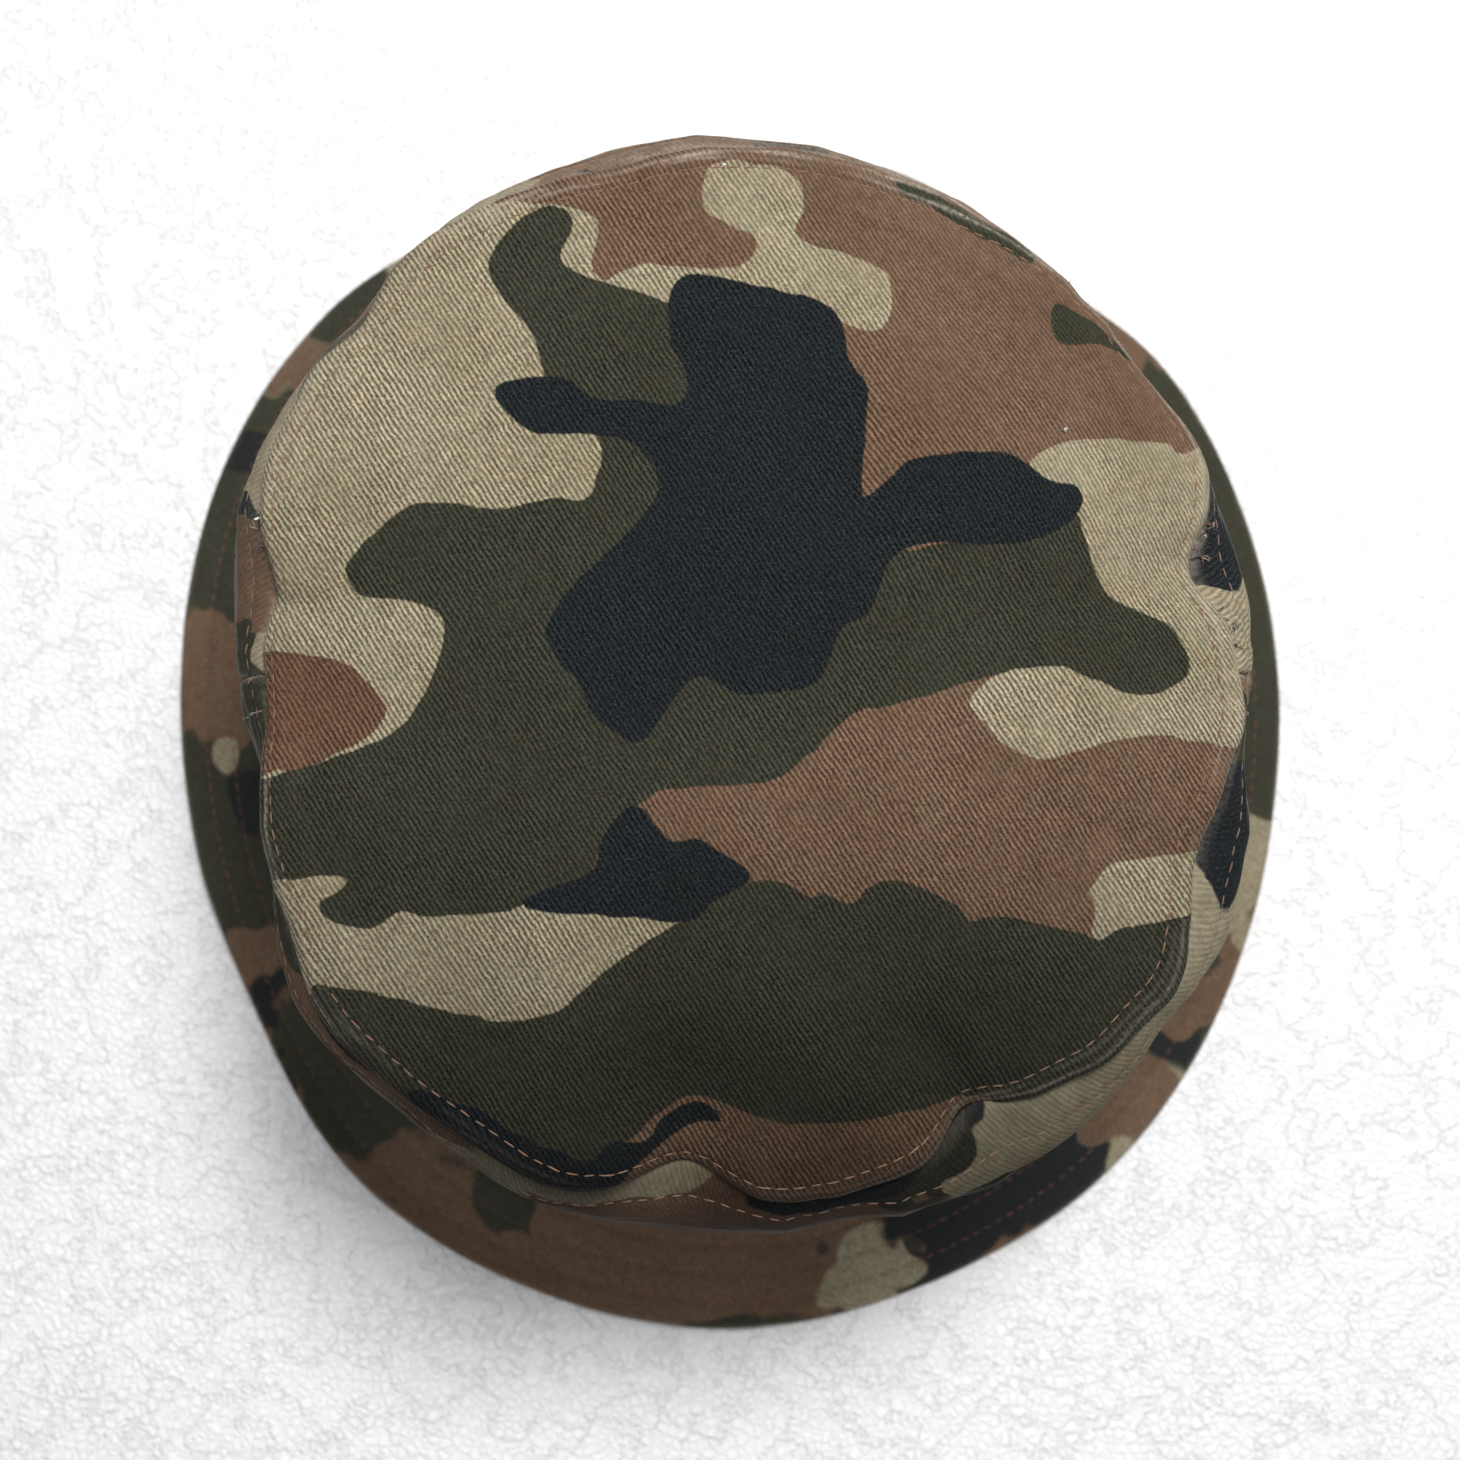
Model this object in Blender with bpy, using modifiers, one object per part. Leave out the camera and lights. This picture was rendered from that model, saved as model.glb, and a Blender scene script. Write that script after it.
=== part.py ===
"""Bucket hat, full size, in metres. +Z is up, the wearer faces -Y, and the hat rests on its brim at Z = 0.

Every ring of the hat is an oval. The crown stands on the band oval and is closed by a slightly shorter,
slightly wider tip oval, and the brim spreads from the band oval by an equal outset all round.
"""

import math

import bmesh
import bpy
from mathutils import Matrix, Vector

# Driving dimensions
BAND_HALF_X = 0.084
BAND_HALF_Y = 0.0975
TIP_HALF_X = 0.0865
TIP_HALF_Y = 0.092
BRIM_SEAM_Z = 0.0278
TIP_Z = 0.1155
BRIM_OUTSET = 0.048
RIM_FLAT = 0.0045
WALL_BULGE = 0.007
TIP_DOME = 0.0025

# Cloth and thread
CLOTH = 0.001
BRIM_CLOTH = 0.0006
INTERLINING = 0.0004
TAPE = 0.0006
SWEATBAND = 0.0008
THREAD_RADIUS = 0.0003
GAP = 0.0003

# Where pieces sit
CREASE_OUTSET = 0.006
TIP_STITCH_INSET = 0.005
WALL_STITCH_DROP = 0.0045
BRIM_INNER_STITCH = 0.003
BRIM_EDGE_STITCH = BRIM_OUTSET - 0.0065
TIP_TAPE_HEIGHT = 0.009
SIDE_TAPE_HALF_WIDTH = 0.006
SWEATBAND_HEIGHT = 0.032
SWEATBAND_STITCH_HEIGHT = 0.0035
EYELET_ANGLE = math.radians(14)
EYELET_Z = 0.088
LABEL_WIDTH = 0.030
LABEL_HEIGHT = 0.020
LABEL_THICKNESS = 0.0004
LABEL_TOP_Z = 0.058

# Eyelets
FLANGE_RADIUS = 0.0052
FLANGE_THICKNESS = 0.0005
BARREL_RADIUS = 0.0032
BARREL_BORE = 0.0024
BARREL_LENGTH = 0.0033
FLANGE_CLEARANCE = 0.00045
WASHER_THICKNESS = 0.0004
WASHER_CLEARANCE = 0.0008
EYELET_STEPS = 20

# Mesh density
SEGMENTS = 72
WALL_ROWS = 10
TIP_ROWS = 5
BRIM_ROWS = 3
FULL_TURN = math.tau
CREASE_Y = BAND_HALF_Y + CREASE_OUTSET


def clear_scene():
    for old in list(bpy.data.objects):
        bpy.data.objects.remove(old, do_unlink=True)


def collection(name):
    made = bpy.data.collections.new(name)
    bpy.context.scene.collection.children.link(made)
    return made


def material(name, colour, roughness, metallic=0.0):
    made = bpy.data.materials.new(name)
    made.use_nodes = True
    shader = made.node_tree.nodes["Principled BSDF"]
    shader.inputs["Base Color"].default_value = (*colour, 1.0)
    shader.inputs["Roughness"].default_value = roughness
    shader.inputs["Metallic"].default_value = metallic
    made.diffuse_color = (*colour, 1.0)
    return made


def oval(half_x, half_y, z, start=0.0, end=FULL_TURN):
    """Points along an oval, anticlockwise from above. A full turn doesn't repeat its first point."""
    share = (end - start) / FULL_TURN
    steps = max(2, round(SEGMENTS * share))
    count = steps if share > 0.999 else steps + 1
    angles = [start + (end - start) * i / steps for i in range(count)]
    return [Vector((half_x * math.cos(a), half_y * math.sin(a), z)) for a in angles]


def wall_half_axes(z, inset=0.0):
    """The half axes of the crown's side wall at a height, drawn in by the inset."""
    share = (z - BRIM_SEAM_Z) / (TIP_Z - BRIM_SEAM_Z)
    share = min(max(share, 0.0), 1.0)
    bulge = WALL_BULGE * math.sin(math.pi * share**1.6)
    half_x = BAND_HALF_X + (TIP_HALF_X - BAND_HALF_X) * share + bulge - inset
    half_y = BAND_HALF_Y + (TIP_HALF_Y - BAND_HALF_Y) * share + bulge - inset
    return half_x, half_y


def wall_rings(top_z, bottom_z, rows, inset=0.0, start=0.0, end=FULL_TURN):
    """Rings of the side wall from the top down."""
    rings = []
    for row in range(rows):
        z = top_z + (bottom_z - top_z) * row / (rows - 1)
        rings.append(oval(*wall_half_axes(z, inset), z, start, end))
    return rings


def tip_height(share):
    """Height of the tip's upper face at a share of the way from its middle to its edge."""
    return TIP_Z + TIP_DOME * (1 - share**2)


def brim_point(outset, lift=0.0):
    """(outset, height) of the brim's underside, lifted square to its slope. The rim's last stretch is level."""
    slope_end = BRIM_OUTSET - RIM_FLAT
    if outset >= slope_end:
        return outset, lift
    angle = math.atan2(BRIM_SEAM_Z, slope_end)
    height = BRIM_SEAM_Z * (1 - outset / slope_end)
    return outset, height + lift / math.cos(angle)


def brim_oval(outset, lift=0.0, start=0.0, end=FULL_TURN):
    reach, z = brim_point(outset, lift)
    return oval(BAND_HALF_X + reach, BAND_HALF_Y + reach, z, start, end)


def loft(name, rings, target, finish, closed=True, pole=None):
    """An open surface through rings of equal length, facing outward and up."""
    shape = bmesh.new()
    rows = [[shape.verts.new(point) for point in ring] for ring in rings]
    count = len(rows[0])
    spans = count if closed else count - 1
    for upper, lower in zip(rows, rows[1:]):
        for i in range(spans):
            j = (i + 1) % count
            shape.faces.new((upper[i], lower[i], lower[j], upper[j]))
    if pole is not None:
        middle = shape.verts.new(pole)
        for i in range(spans):
            shape.faces.new((middle, rows[0][i], rows[0][(i + 1) % count]))
    mesh = bpy.data.meshes.new(name)
    shape.to_mesh(mesh)
    shape.free()
    made = bpy.data.objects.new(name, mesh)
    target.objects.link(made)
    mesh.materials.append(finish)
    mesh.shade_smooth()
    mesh.set_sharp_from_angle(angle=math.radians(40))
    return made


def thicken(piece, thickness, offset):
    """Gives the sheet its thickness: offset 1 grows it outward or up, and -1 inward or down."""
    solidify = piece.modifiers.new("thickness", "SOLIDIFY")
    solidify.thickness = thickness
    solidify.offset = offset
    solidify.use_even_offset = True
    return piece


def boolean(piece, operation, cutter):
    cut = piece.modifiers.new(operation.lower(), "BOOLEAN")
    cut.operation = operation
    cut.object = cutter
    cut.solver = "EXACT"
    return piece


def hide_cutter(cutter, target):
    for owner in list(cutter.users_collection):
        owner.objects.unlink(cutter)
    target.objects.link(cutter)
    cutter.hide_render = True
    cutter.display_type = "WIRE"
    return cutter


def box_cutter(name, low, high, target):
    bpy.ops.mesh.primitive_cube_add(size=1)
    cutter = bpy.context.object
    cutter.name = name
    low, high = Vector(low), Vector(high)
    cutter.data.transform(Matrix.Translation((low + high) / 2) @ Matrix.Diagonal((*(high - low), 1)))
    return hide_cutter(cutter, target)


def thread(name, points, cyclic, target, finish):
    """A run of sewing thread along points."""
    curve = bpy.data.curves.new(name, "CURVE")
    curve.dimensions = "3D"
    curve.bevel_depth = THREAD_RADIUS
    curve.bevel_resolution = 1
    curve.use_fill_caps = True
    spline = curve.splines.new("POLY")
    spline.points.add(len(points) - 1)
    for place, point in zip(spline.points, points):
        place.co = (*point, 1.0)
    spline.use_cyclic_u = cyclic
    curve.materials.append(finish)
    made = bpy.data.objects.new(name, curve)
    target.objects.link(made)
    return made


def turned(name, profile, target, finish):
    """A ring turned about its own Z axis from a closed profile of (radius, height)."""
    shape = bmesh.new()
    corners = [shape.verts.new((radius, 0, z)) for radius, z in profile]
    for i, corner in enumerate(corners):
        shape.edges.new((corner, corners[(i + 1) % len(corners)]))
    mesh = bpy.data.meshes.new(name)
    shape.to_mesh(mesh)
    shape.free()
    made = bpy.data.objects.new(name, mesh)
    target.objects.link(made)
    mesh.materials.append(finish)
    screw = made.modifiers.new("turn", "SCREW")
    screw.steps = EYELET_STEPS
    screw.render_steps = EYELET_STEPS
    screw.use_merge_vertices = True
    screw.merge_threshold = 0.00001
    return made


def wall_frame(angle, z):
    """A placement on the wall's outer face, with its Z axis pointing straight out of the cloth."""
    half_x, half_y = wall_half_axes(z)
    step = 0.001
    above_x, above_y = wall_half_axes(z + step)
    place = Vector((half_x * math.cos(angle), half_y * math.sin(angle), z))
    along = Vector((-half_x * math.sin(angle), half_y * math.cos(angle), 0)).normalized()
    above = Vector((above_x * math.cos(angle), above_y * math.sin(angle), z + step))
    up = (above - place).normalized()
    out = along.cross(up).normalized()
    up = out.cross(along)
    turn = Matrix((along, up, out)).transposed().to_4x4()
    return Matrix.Translation(place) @ turn


def crown_tip(target, finish):
    """The oval cloth panel that closes the crown."""
    rings = []
    for row in range(1, TIP_ROWS + 1):
        share = row / TIP_ROWS
        rings.append(oval(TIP_HALF_X * share, TIP_HALF_Y * share, tip_height(share)))
    tip = loft("crown_tip", rings, target, finish, pole=(0, 0, tip_height(0)))
    return thicken(tip, CLOTH, -1)


def side_panel(name, start, target, finish, holes):
    """Half of the crown's side wall, from one side seam to the other."""
    seam_angle = math.asin(GAP / 2 / BAND_HALF_Y)
    rings = wall_rings(
        TIP_Z - CLOTH - GAP,
        BRIM_SEAM_Z,
        WALL_ROWS,
        start=start + seam_angle,
        end=start + math.pi - seam_angle,
    )
    panel = thicken(loft(name, rings, target, finish, closed=False), CLOTH, -1)
    for hole in holes:
        boolean(panel, "DIFFERENCE", hole)
    return panel


def eyelet_places():
    """Name and angle of each vent, two to a side."""
    for side, middle in (("left", 0.0), ("right", math.pi)):
        for end, turn in (("front", -1), ("rear", 1)):
            sign = 1 if side == "left" else -1
            yield f"{side}_{end}", middle + sign * turn * EYELET_ANGLE


def eyelet_hole(name, angle, target):
    bpy.ops.mesh.primitive_cylinder_add(vertices=EYELET_STEPS, radius=BARREL_RADIUS + GAP, depth=0.012)
    cutter = bpy.context.object
    cutter.name = f"vent_hole_{name}"
    cutter.data.transform(wall_frame(angle, EYELET_Z))
    return hide_cutter(cutter, target)


def eyelet(name, angle, target, finish):
    """The flanged half of a vent, pushed through the cloth from outside."""
    profile = [
        (FLANGE_RADIUS, FLANGE_THICKNESS),
        (FLANGE_RADIUS, 0),
        (BARREL_RADIUS, 0),
        (BARREL_RADIUS, -BARREL_LENGTH),
        (BARREL_BORE, -BARREL_LENGTH),
        (BARREL_BORE, FLANGE_THICKNESS),
    ]
    made = turned(f"eyelet_{name}", profile, target, finish)
    made.matrix_world = wall_frame(angle, EYELET_Z) @ Matrix.Translation((0, 0, FLANGE_CLEARANCE))
    return made


def eyelet_washer(name, angle, target, finish):
    """The plain ring that the barrel is rolled over, inside the crown."""
    top = -CLOTH - WASHER_CLEARANCE
    bottom = top - WASHER_THICKNESS
    bore = BARREL_RADIUS + GAP
    profile = [(FLANGE_RADIUS, top), (FLANGE_RADIUS, bottom), (bore, bottom), (bore, top)]
    made = turned(f"eyelet_washer_{name}", profile, target, finish)
    made.matrix_world = wall_frame(angle, EYELET_Z)
    return made


def seam_tapes(target, finish):
    """Binding over the raw edges inside: one ring under the tip, one strip down each side seam."""
    inset = CLOTH + GAP
    top = TIP_Z - CLOTH - 2 * GAP
    rings = wall_rings(top, top - TIP_TAPE_HEIGHT, 3, inset)
    thicken(loft("tip_seam_tape", rings, target, finish), TAPE, -1)
    strip_top = top - TIP_TAPE_HEIGHT - GAP
    turn = SIDE_TAPE_HALF_WIDTH / BAND_HALF_Y
    for side, middle in (("left", 0.0), ("right", math.pi)):
        rings = wall_rings(strip_top, BRIM_SEAM_Z, WALL_ROWS, inset, middle - turn, middle + turn)
        strip = loft(f"side_seam_tape_{side}", rings, target, finish, closed=False)
        thicken(strip, TAPE, -1)


def sweatband(target, finish):
    """The absorbent band round the head opening, standing inside the seam tapes."""
    inset = CLOTH + GAP + TAPE + GAP
    rings = wall_rings(BRIM_SEAM_Z + SWEATBAND_HEIGHT, BRIM_SEAM_Z, 4, inset)
    return thicken(loft("sweatband", rings, target, finish), SWEATBAND, -1)


def brim_layer(name, lift, thickness, cutters, target, finish):
    """One layer of the brim as a ring, with a front and a rear flap cut free where the brim turns up."""
    outsets = [GAP + (BRIM_OUTSET - RIM_FLAT - GAP) * i / BRIM_ROWS for i in range(BRIM_ROWS + 1)]
    outsets.append(BRIM_OUTSET)
    rings = [brim_oval(outset, lift) for outset in outsets]
    ring = thicken(loft(name, rings, target, finish), thickness, 1)
    boolean(ring, "DIFFERENCE", cutters["front_room"])
    boolean(ring, "DIFFERENCE", cutters["rear_room"])
    for end in ("front", "rear"):
        flap = thicken(loft(f"{name}_{end}_flap", rings, target, finish), thickness, 1)
        boolean(flap, "INTERSECT", cutters[f"{end}_flap"])


def flap_cutters(target):
    """Boxes in front of and behind the creases. The room boxes reach a gap further than the flap boxes."""
    wide, high, far = 0.2, 0.1, 0.2
    made = {}
    for end, sign in (("front", -1), ("rear", 1)):
        for use, near in (("room", CREASE_Y), ("flap", CREASE_Y + GAP)):
            sides = sorted((sign * near, sign * far))
            name = f"{end}_{use}"
            made[name] = box_cutter(name, (-wide, sides[0], -high), (wide, sides[1], high), target)
    return made


def brim_stitching(target, finish):
    """A full row beside the crown, and an edge row in four runs because it crosses both creases."""
    above = 2 * BRIM_CLOTH + INTERLINING + 3 * GAP + THREAD_RADIUS
    thread("brim_inner_stitch", brim_oval(BRIM_INNER_STITCH, above), True, target, finish)
    crease = math.asin((CREASE_Y + GAP) / (BAND_HALF_Y + BRIM_EDGE_STITCH))
    short = 2 * GAP / BAND_HALF_X
    runs = {
        "left": (-crease + short, crease - short),
        "rear": (crease + short, math.pi - crease - short),
        "right": (math.pi - crease + short, math.pi + crease - short),
        "front": (math.pi + crease + short, FULL_TURN - crease - short),
    }
    for side, (start, end) in runs.items():
        points = brim_oval(BRIM_EDGE_STITCH, above, start, end)
        thread(f"brim_edge_stitch_{side}", points, False, target, finish)


def crown_stitching(target, tip_finish, band_finish):
    """Topstitching on both sides of the tip seam, and the row that holds the sweatband."""
    clear = THREAD_RADIUS + GAP
    share = 1 - TIP_STITCH_INSET / TIP_HALF_X
    half_y = TIP_HALF_Y - TIP_STITCH_INSET
    points = oval(TIP_HALF_X * share, half_y, tip_height(share) + clear)
    thread("tip_stitch_upper", points, True, target, tip_finish)
    z = TIP_Z - CLOTH - GAP - WALL_STITCH_DROP
    thread("tip_stitch_lower", oval(*wall_half_axes(z, -clear), z), True, target, tip_finish)
    z = BRIM_SEAM_Z + SWEATBAND_STITCH_HEIGHT
    inset = CLOTH + 2 * GAP + TAPE + SWEATBAND + clear
    thread("sweatband_stitch", oval(*wall_half_axes(z, inset), z), True, target, band_finish)


def size_label(target, finish):
    """A blank woven label hanging by its top edge at the back of the sweatband. Its origin is its hinge line."""
    inner_y = BAND_HALF_Y - CLOTH - 2 * GAP - TAPE - SWEATBAND
    bow = inner_y * (1 - math.sqrt(1 - (LABEL_WIDTH / 2 / (BAND_HALF_X - 0.003)) ** 2))
    bpy.ops.mesh.primitive_cube_add(size=1)
    label = bpy.context.object
    label.name = "size_label"
    label.data.transform(
        Matrix.Translation((0, 0, -LABEL_HEIGHT / 2))
        @ Matrix.Diagonal((LABEL_WIDTH, LABEL_THICKNESS, LABEL_HEIGHT, 1))
    )
    label.location = (0, inner_y - bow - 2 * GAP, LABEL_TOP_Z)
    for owner in list(label.users_collection):
        owner.objects.unlink(label)
    target.objects.link(label)
    label.data.materials.append(finish)
    return label


def build():
    clear_scene()
    parts = collection("bucket_hat")
    cutters = collection("cutters")
    camouflage = material("camouflage_twill", (0.16, 0.12, 0.075), 0.9)
    brim_print = material("brim_twill", (0.10, 0.075, 0.05), 0.9)
    canvas = material("brim_interlining", (0.55, 0.53, 0.48), 0.95)
    binding = material("seam_tape", (0.09, 0.08, 0.055), 0.9)
    towelling = material("sweatband_cotton", (0.12, 0.11, 0.075), 0.95)
    orange_thread = material("topstitch_thread", (0.52, 0.27, 0.13), 0.7)
    brown_thread = material("brim_thread", (0.16, 0.05, 0.035), 0.7)
    metal = material("blackened_brass", (0.05, 0.05, 0.045), 0.45, 0.9)
    woven = material("label_satin", (0.75, 0.73, 0.68), 0.6)

    places = list(eyelet_places())
    holes = {name: eyelet_hole(name, angle, cutters) for name, angle in places}
    front_holes = [hole for name, hole in holes.items() if name.endswith("front")]
    rear_holes = [hole for name, hole in holes.items() if name.endswith("rear")]
    crown_tip(parts, camouflage)
    side_panel("side_panel_rear", 0.0, parts, camouflage, rear_holes)
    side_panel("side_panel_front", math.pi, parts, camouflage, front_holes)
    for name, angle in places:
        eyelet(name, angle, parts, metal)
        eyelet_washer(name, angle, parts, metal)
    seam_tapes(parts, binding)
    sweatband(parts, towelling)
    crown_stitching(parts, orange_thread, brown_thread)

    flaps = flap_cutters(cutters)
    canvas_lift = BRIM_CLOTH + GAP
    top_lift = canvas_lift + INTERLINING + GAP
    brim_layer("brim_under_cloth", 0.0, BRIM_CLOTH, flaps, parts, brim_print)
    brim_layer("brim_interlining", canvas_lift, INTERLINING, flaps, parts, canvas)
    brim_layer("brim_top_cloth", top_lift, BRIM_CLOTH, flaps, parts, brim_print)
    brim_stitching(parts, brown_thread)
    size_label(parts, woven)


build()
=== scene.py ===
"""The looks of the bucket hat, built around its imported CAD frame.

Crown, brim and inside are cloth sheets in numpy grids, sized from the frame. The printed pattern is held as
signed distances at the vertices, so that the material can draw its edges crisply, and the twill is drawn
from the "cloth" attribute, which holds each point's place on the flat cloth in metres.
"""

import math

import bpy
import numpy as np
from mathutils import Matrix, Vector


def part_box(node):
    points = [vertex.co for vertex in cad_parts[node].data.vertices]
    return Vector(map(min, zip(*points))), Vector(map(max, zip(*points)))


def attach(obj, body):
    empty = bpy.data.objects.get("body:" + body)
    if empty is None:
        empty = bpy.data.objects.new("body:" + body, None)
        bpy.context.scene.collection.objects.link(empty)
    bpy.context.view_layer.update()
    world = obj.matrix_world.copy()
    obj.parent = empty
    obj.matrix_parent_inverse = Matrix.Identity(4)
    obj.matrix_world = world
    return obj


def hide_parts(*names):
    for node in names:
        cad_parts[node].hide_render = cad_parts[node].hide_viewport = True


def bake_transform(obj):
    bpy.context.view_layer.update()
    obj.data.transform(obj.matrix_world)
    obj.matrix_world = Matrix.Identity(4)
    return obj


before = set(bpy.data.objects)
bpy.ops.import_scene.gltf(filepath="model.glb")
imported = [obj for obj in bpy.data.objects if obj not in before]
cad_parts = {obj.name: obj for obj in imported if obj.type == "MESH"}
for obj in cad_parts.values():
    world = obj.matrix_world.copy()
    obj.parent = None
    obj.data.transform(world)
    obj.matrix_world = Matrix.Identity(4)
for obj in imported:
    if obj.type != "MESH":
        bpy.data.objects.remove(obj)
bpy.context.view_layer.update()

# ---- sizes, from the frame

MM = 0.001
CLOTH = 1.0 * MM
BRIM_OUTSET = 48 * MM
RIM_FLAT = 4.5 * MM
BRIM_THICKNESS = 2.2 * MM
tip_low, tip_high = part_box("crown_tip")
TIP_A = tip_high.x
TIP_B = tip_high.y
SEAM_Z = tip_low.z + CLOTH
DOME = tip_high.z - SEAM_Z
BRIM_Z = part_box("side_panel_front")[0].z
BAND_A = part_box("brim_under_cloth")[1].x - BRIM_OUTSET
BAND_B = -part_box("brim_under_cloth_front_flap")[0].y - BRIM_OUTSET
WALL_HEIGHT = SEAM_Z - BRIM_Z
WALL_BULGE = 7 * MM

STITCH_PITCH = 3.0 * MM
TIP_STITCH = 5.0 * MM
WALL_STITCH = 4.5 * MM
SIDE_STITCH = 7.0 * MM
BRIM_ROWS = np.array([3.0, 10.7, 18.4, 26.1, 33.8, 41.5]) * MM
EYELETS = {"left_front": -14, "left_rear": 14, "right_front": 166, "right_rear": 194}  # degrees round
EYELET_HOLE = 3.0 * MM
EYELET_Z = sum(corner.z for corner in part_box("eyelet_left_front")) / 2
TAPE_INSET = CLOTH + 0.4 * MM
SWEATBAND_INSET = TAPE_INSET + 1.0 * MM
SWEATBAND_HEIGHT = 32 * MM
# About the crown's mean radius, for noise that runs round it
NOISE_RING = 90 * MM


# ---- smooth noise

LATTICE = 24


def noise(points, scale, seed):
    """Smooth noise from -1 to 1 at (n, 3) points, with features about scale across."""
    lattice = np.random.default_rng(seed).uniform(-1, 1, (LATTICE, LATTICE, LATTICE))
    place = np.asarray(points) / scale + LATTICE * 4.37
    cell = np.floor(place).astype(int)
    near = place - cell
    near = near * near * (3 - 2 * near)
    total = np.zeros(place.shape[:-1])
    for corner in np.ndindex(2, 2, 2):
        index = (cell + corner) % LATTICE
        weight = np.prod(np.where(corner, near, 1 - near), axis=-1)
        total += weight * lattice[index[..., 0], index[..., 1], index[..., 2]]
    return total


def fractal(points, scale, seed, octaves=3):
    total = sum(noise(points, scale / 2**i, seed + i) / 2**i for i in range(octaves))
    return total / (2 - 0.5 ** (octaves - 1))


def smooth(x):
    x = np.clip(x, 0, 1)
    return x * x * (3 - 2 * x)


def bell(x, width):
    return np.exp(-((x / width) ** 2))


def turn_from(angle, centre):
    """The turn from centre to angle, from -pi to pi."""
    return (angle - centre + math.pi) % math.tau - math.pi


# ---- the crown's shape

# Where the soft seam strays from its oval: (angle, width in degrees, outward in mm)
SEAM_SWAY = [
    (-80, 50, 1.3), (92, 28, 0.8), (44, 12, 1.3), (118, 8, 0.9), (129, 8, 2.9), (139, 4, -1.0),
    (146, 6, 2.0), (156, 5, 1.8), (170, 5, -4.5), (183, 11, -5.0), (-142, 7, 3.0), (-130, 10, 2.4),
    (-112, 8, 2.5), (-96, 7, -7.5), (-60, 5, -5.0), (-44, 5, 2.8), (-34, 7, 5.4), (-20, 5, -1.5),
    (-5, 5, 2.2), (12, 5, -5.5), (24, 8, 3.0), (104, 6, -1.0),
]
# Where the edge of the tip sinks: (angle, width in degrees, down in mm)
SEAM_DROP = [(-80, 50, 7.0), (-60, 10, 1.5), (184, 14, 1.5), (13, 8, 1.0), (95, 40, 0.6)]
# How wide the tip's cloth turns over into the seam, beyond ROLL: (angle, width in degrees, radius in mm)
ROLL = 2.0 * MM
SEAM_ROLL = [(182, 34, 2.6), (38, 18, 4.5), (-90, 26, 2.6)]
# Where the wall swells just under the seam: (angle, width in degrees, outward in mm)
SHOULDER = [
    (-95, 40, 3.0), (-20, 12, 7.0), (-42, 9, 4.2), (-56, 11, 6.5), (-66, 8, 1.5), (-118, 14, 1.5),
    (-166, 12, -3.5), (162, 18, 2.4), (140, 20, 1.0), (10, 8, 5.0), (95, 34, 2.6), (2, 5, 1.0),
    (-30, 7, 2.5), (-146, 12, 2.8),
]
# Where the wall as a whole swells or is drawn in: (angle, width in degrees, outward in mm)
WALL_SWELL = [(-90, 45, 1.5), (5, 30, -1.0), (90, 40, -0.5), (197, 12, -3.0)]
# Folds that run in from the seam across the tip: (angle, width in degrees, depth in mm, reach in mm)
TIP_FOLDS = [
    (172, 2.5, 1.8, 15), (178, 4, 1.0, 10), (13, 3, 1.8, 12), (8, 2, 0.8, 8), (-60, 3.5, 2.2, 17),
    (-68, 3, -0.9, 12), (-96, 5, 2.0, 22), (-106, 3, -0.9, 12), (139, 3, 0.9, 12), (-22, 2.5, 0.9, 26),
    (-9, 2, 0.7, 16), (103, 4, 0.6, 12), (60, 3, 0.7, 14), (45, 2.5, 0.6, 12),
]
# Broad dents in the tip: (x, y, radius, depth), all in mm
TIP_DENTS = [
    (-5, -73, 11, 3.6), (33, -69, 12, 3.8), (49, -57, 9, 1.6), (-24, -63, 12, -1.6), (14, -58, 10, -1.5),
    (58, -60, 12, -1.2), (72, -26, 9, 0.9), (-62, 40, 22, -1.0), (30, 45, 30, -0.8), (-20, -5, 34, 0.7),
    (-72, -8, 10, 1.2), (50, 10, 18, 0.5),
]


def humps(angle, table):
    """Sum of smooth humps in angle, in metres."""
    total = np.zeros_like(angle)
    for centre, width, amount in table:
        total += amount * MM * bell(turn_from(angle, math.radians(centre)), math.radians(width))
    return total


def ring(angle, radius_x, radius_y, z):
    return np.stack([radius_x * np.cos(angle), radius_y * np.sin(angle), z + 0 * angle], axis=-1)


def seam_roll(angle):
    return ROLL + humps(angle, SEAM_ROLL)


TIP_SIZE = (TIP_A + TIP_B) / 2


def tip_reach(angle):
    """Length of cloth from the seam to the middle of the tip."""
    return TIP_SIZE + seam_roll(angle) * (math.pi / 2 - 1)


def tip_oval(angle, share, inset):
    """The tip's oval at a share of its size, with the sway of its seam dying out inward."""
    sway = humps(angle, SEAM_SWAY) * np.exp(-inset / (16 * MM)) * smooth(share * 2)
    return ring(angle, TIP_A * share + sway, TIP_B * share + sway, 0)


# Where the tip's cloth lies in fine ridges along the seam: (angle, width in degrees, height in mm)
FINE_RIDGES = [(183, 24, 0.26), (-28, 14, 0.12)]
RIDGE_PITCH = 1.15 * MM


def fine_ridges(angle, depth):
    wave = np.cos(math.tau * (depth + 0.25 * MM * np.sin(9 * angle)) / RIDGE_PITCH)
    return humps(angle, FINE_RIDGES) * wave * bell(depth, 3.4 * MM)


def seam_allowance(depth):
    """The cloth stands proud over the turned-in edges of the seam, and each topstitch draws it in."""
    one_ply = 0.35 * MM * smooth((11.5 * MM - depth) / (1.8 * MM))
    two_plies = 0.3 * MM * smooth((6.5 * MM - depth) / (1 * MM))
    return one_ply + two_plies - 0.8 * MM * np.exp(-depth / (0.6 * MM))


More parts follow.
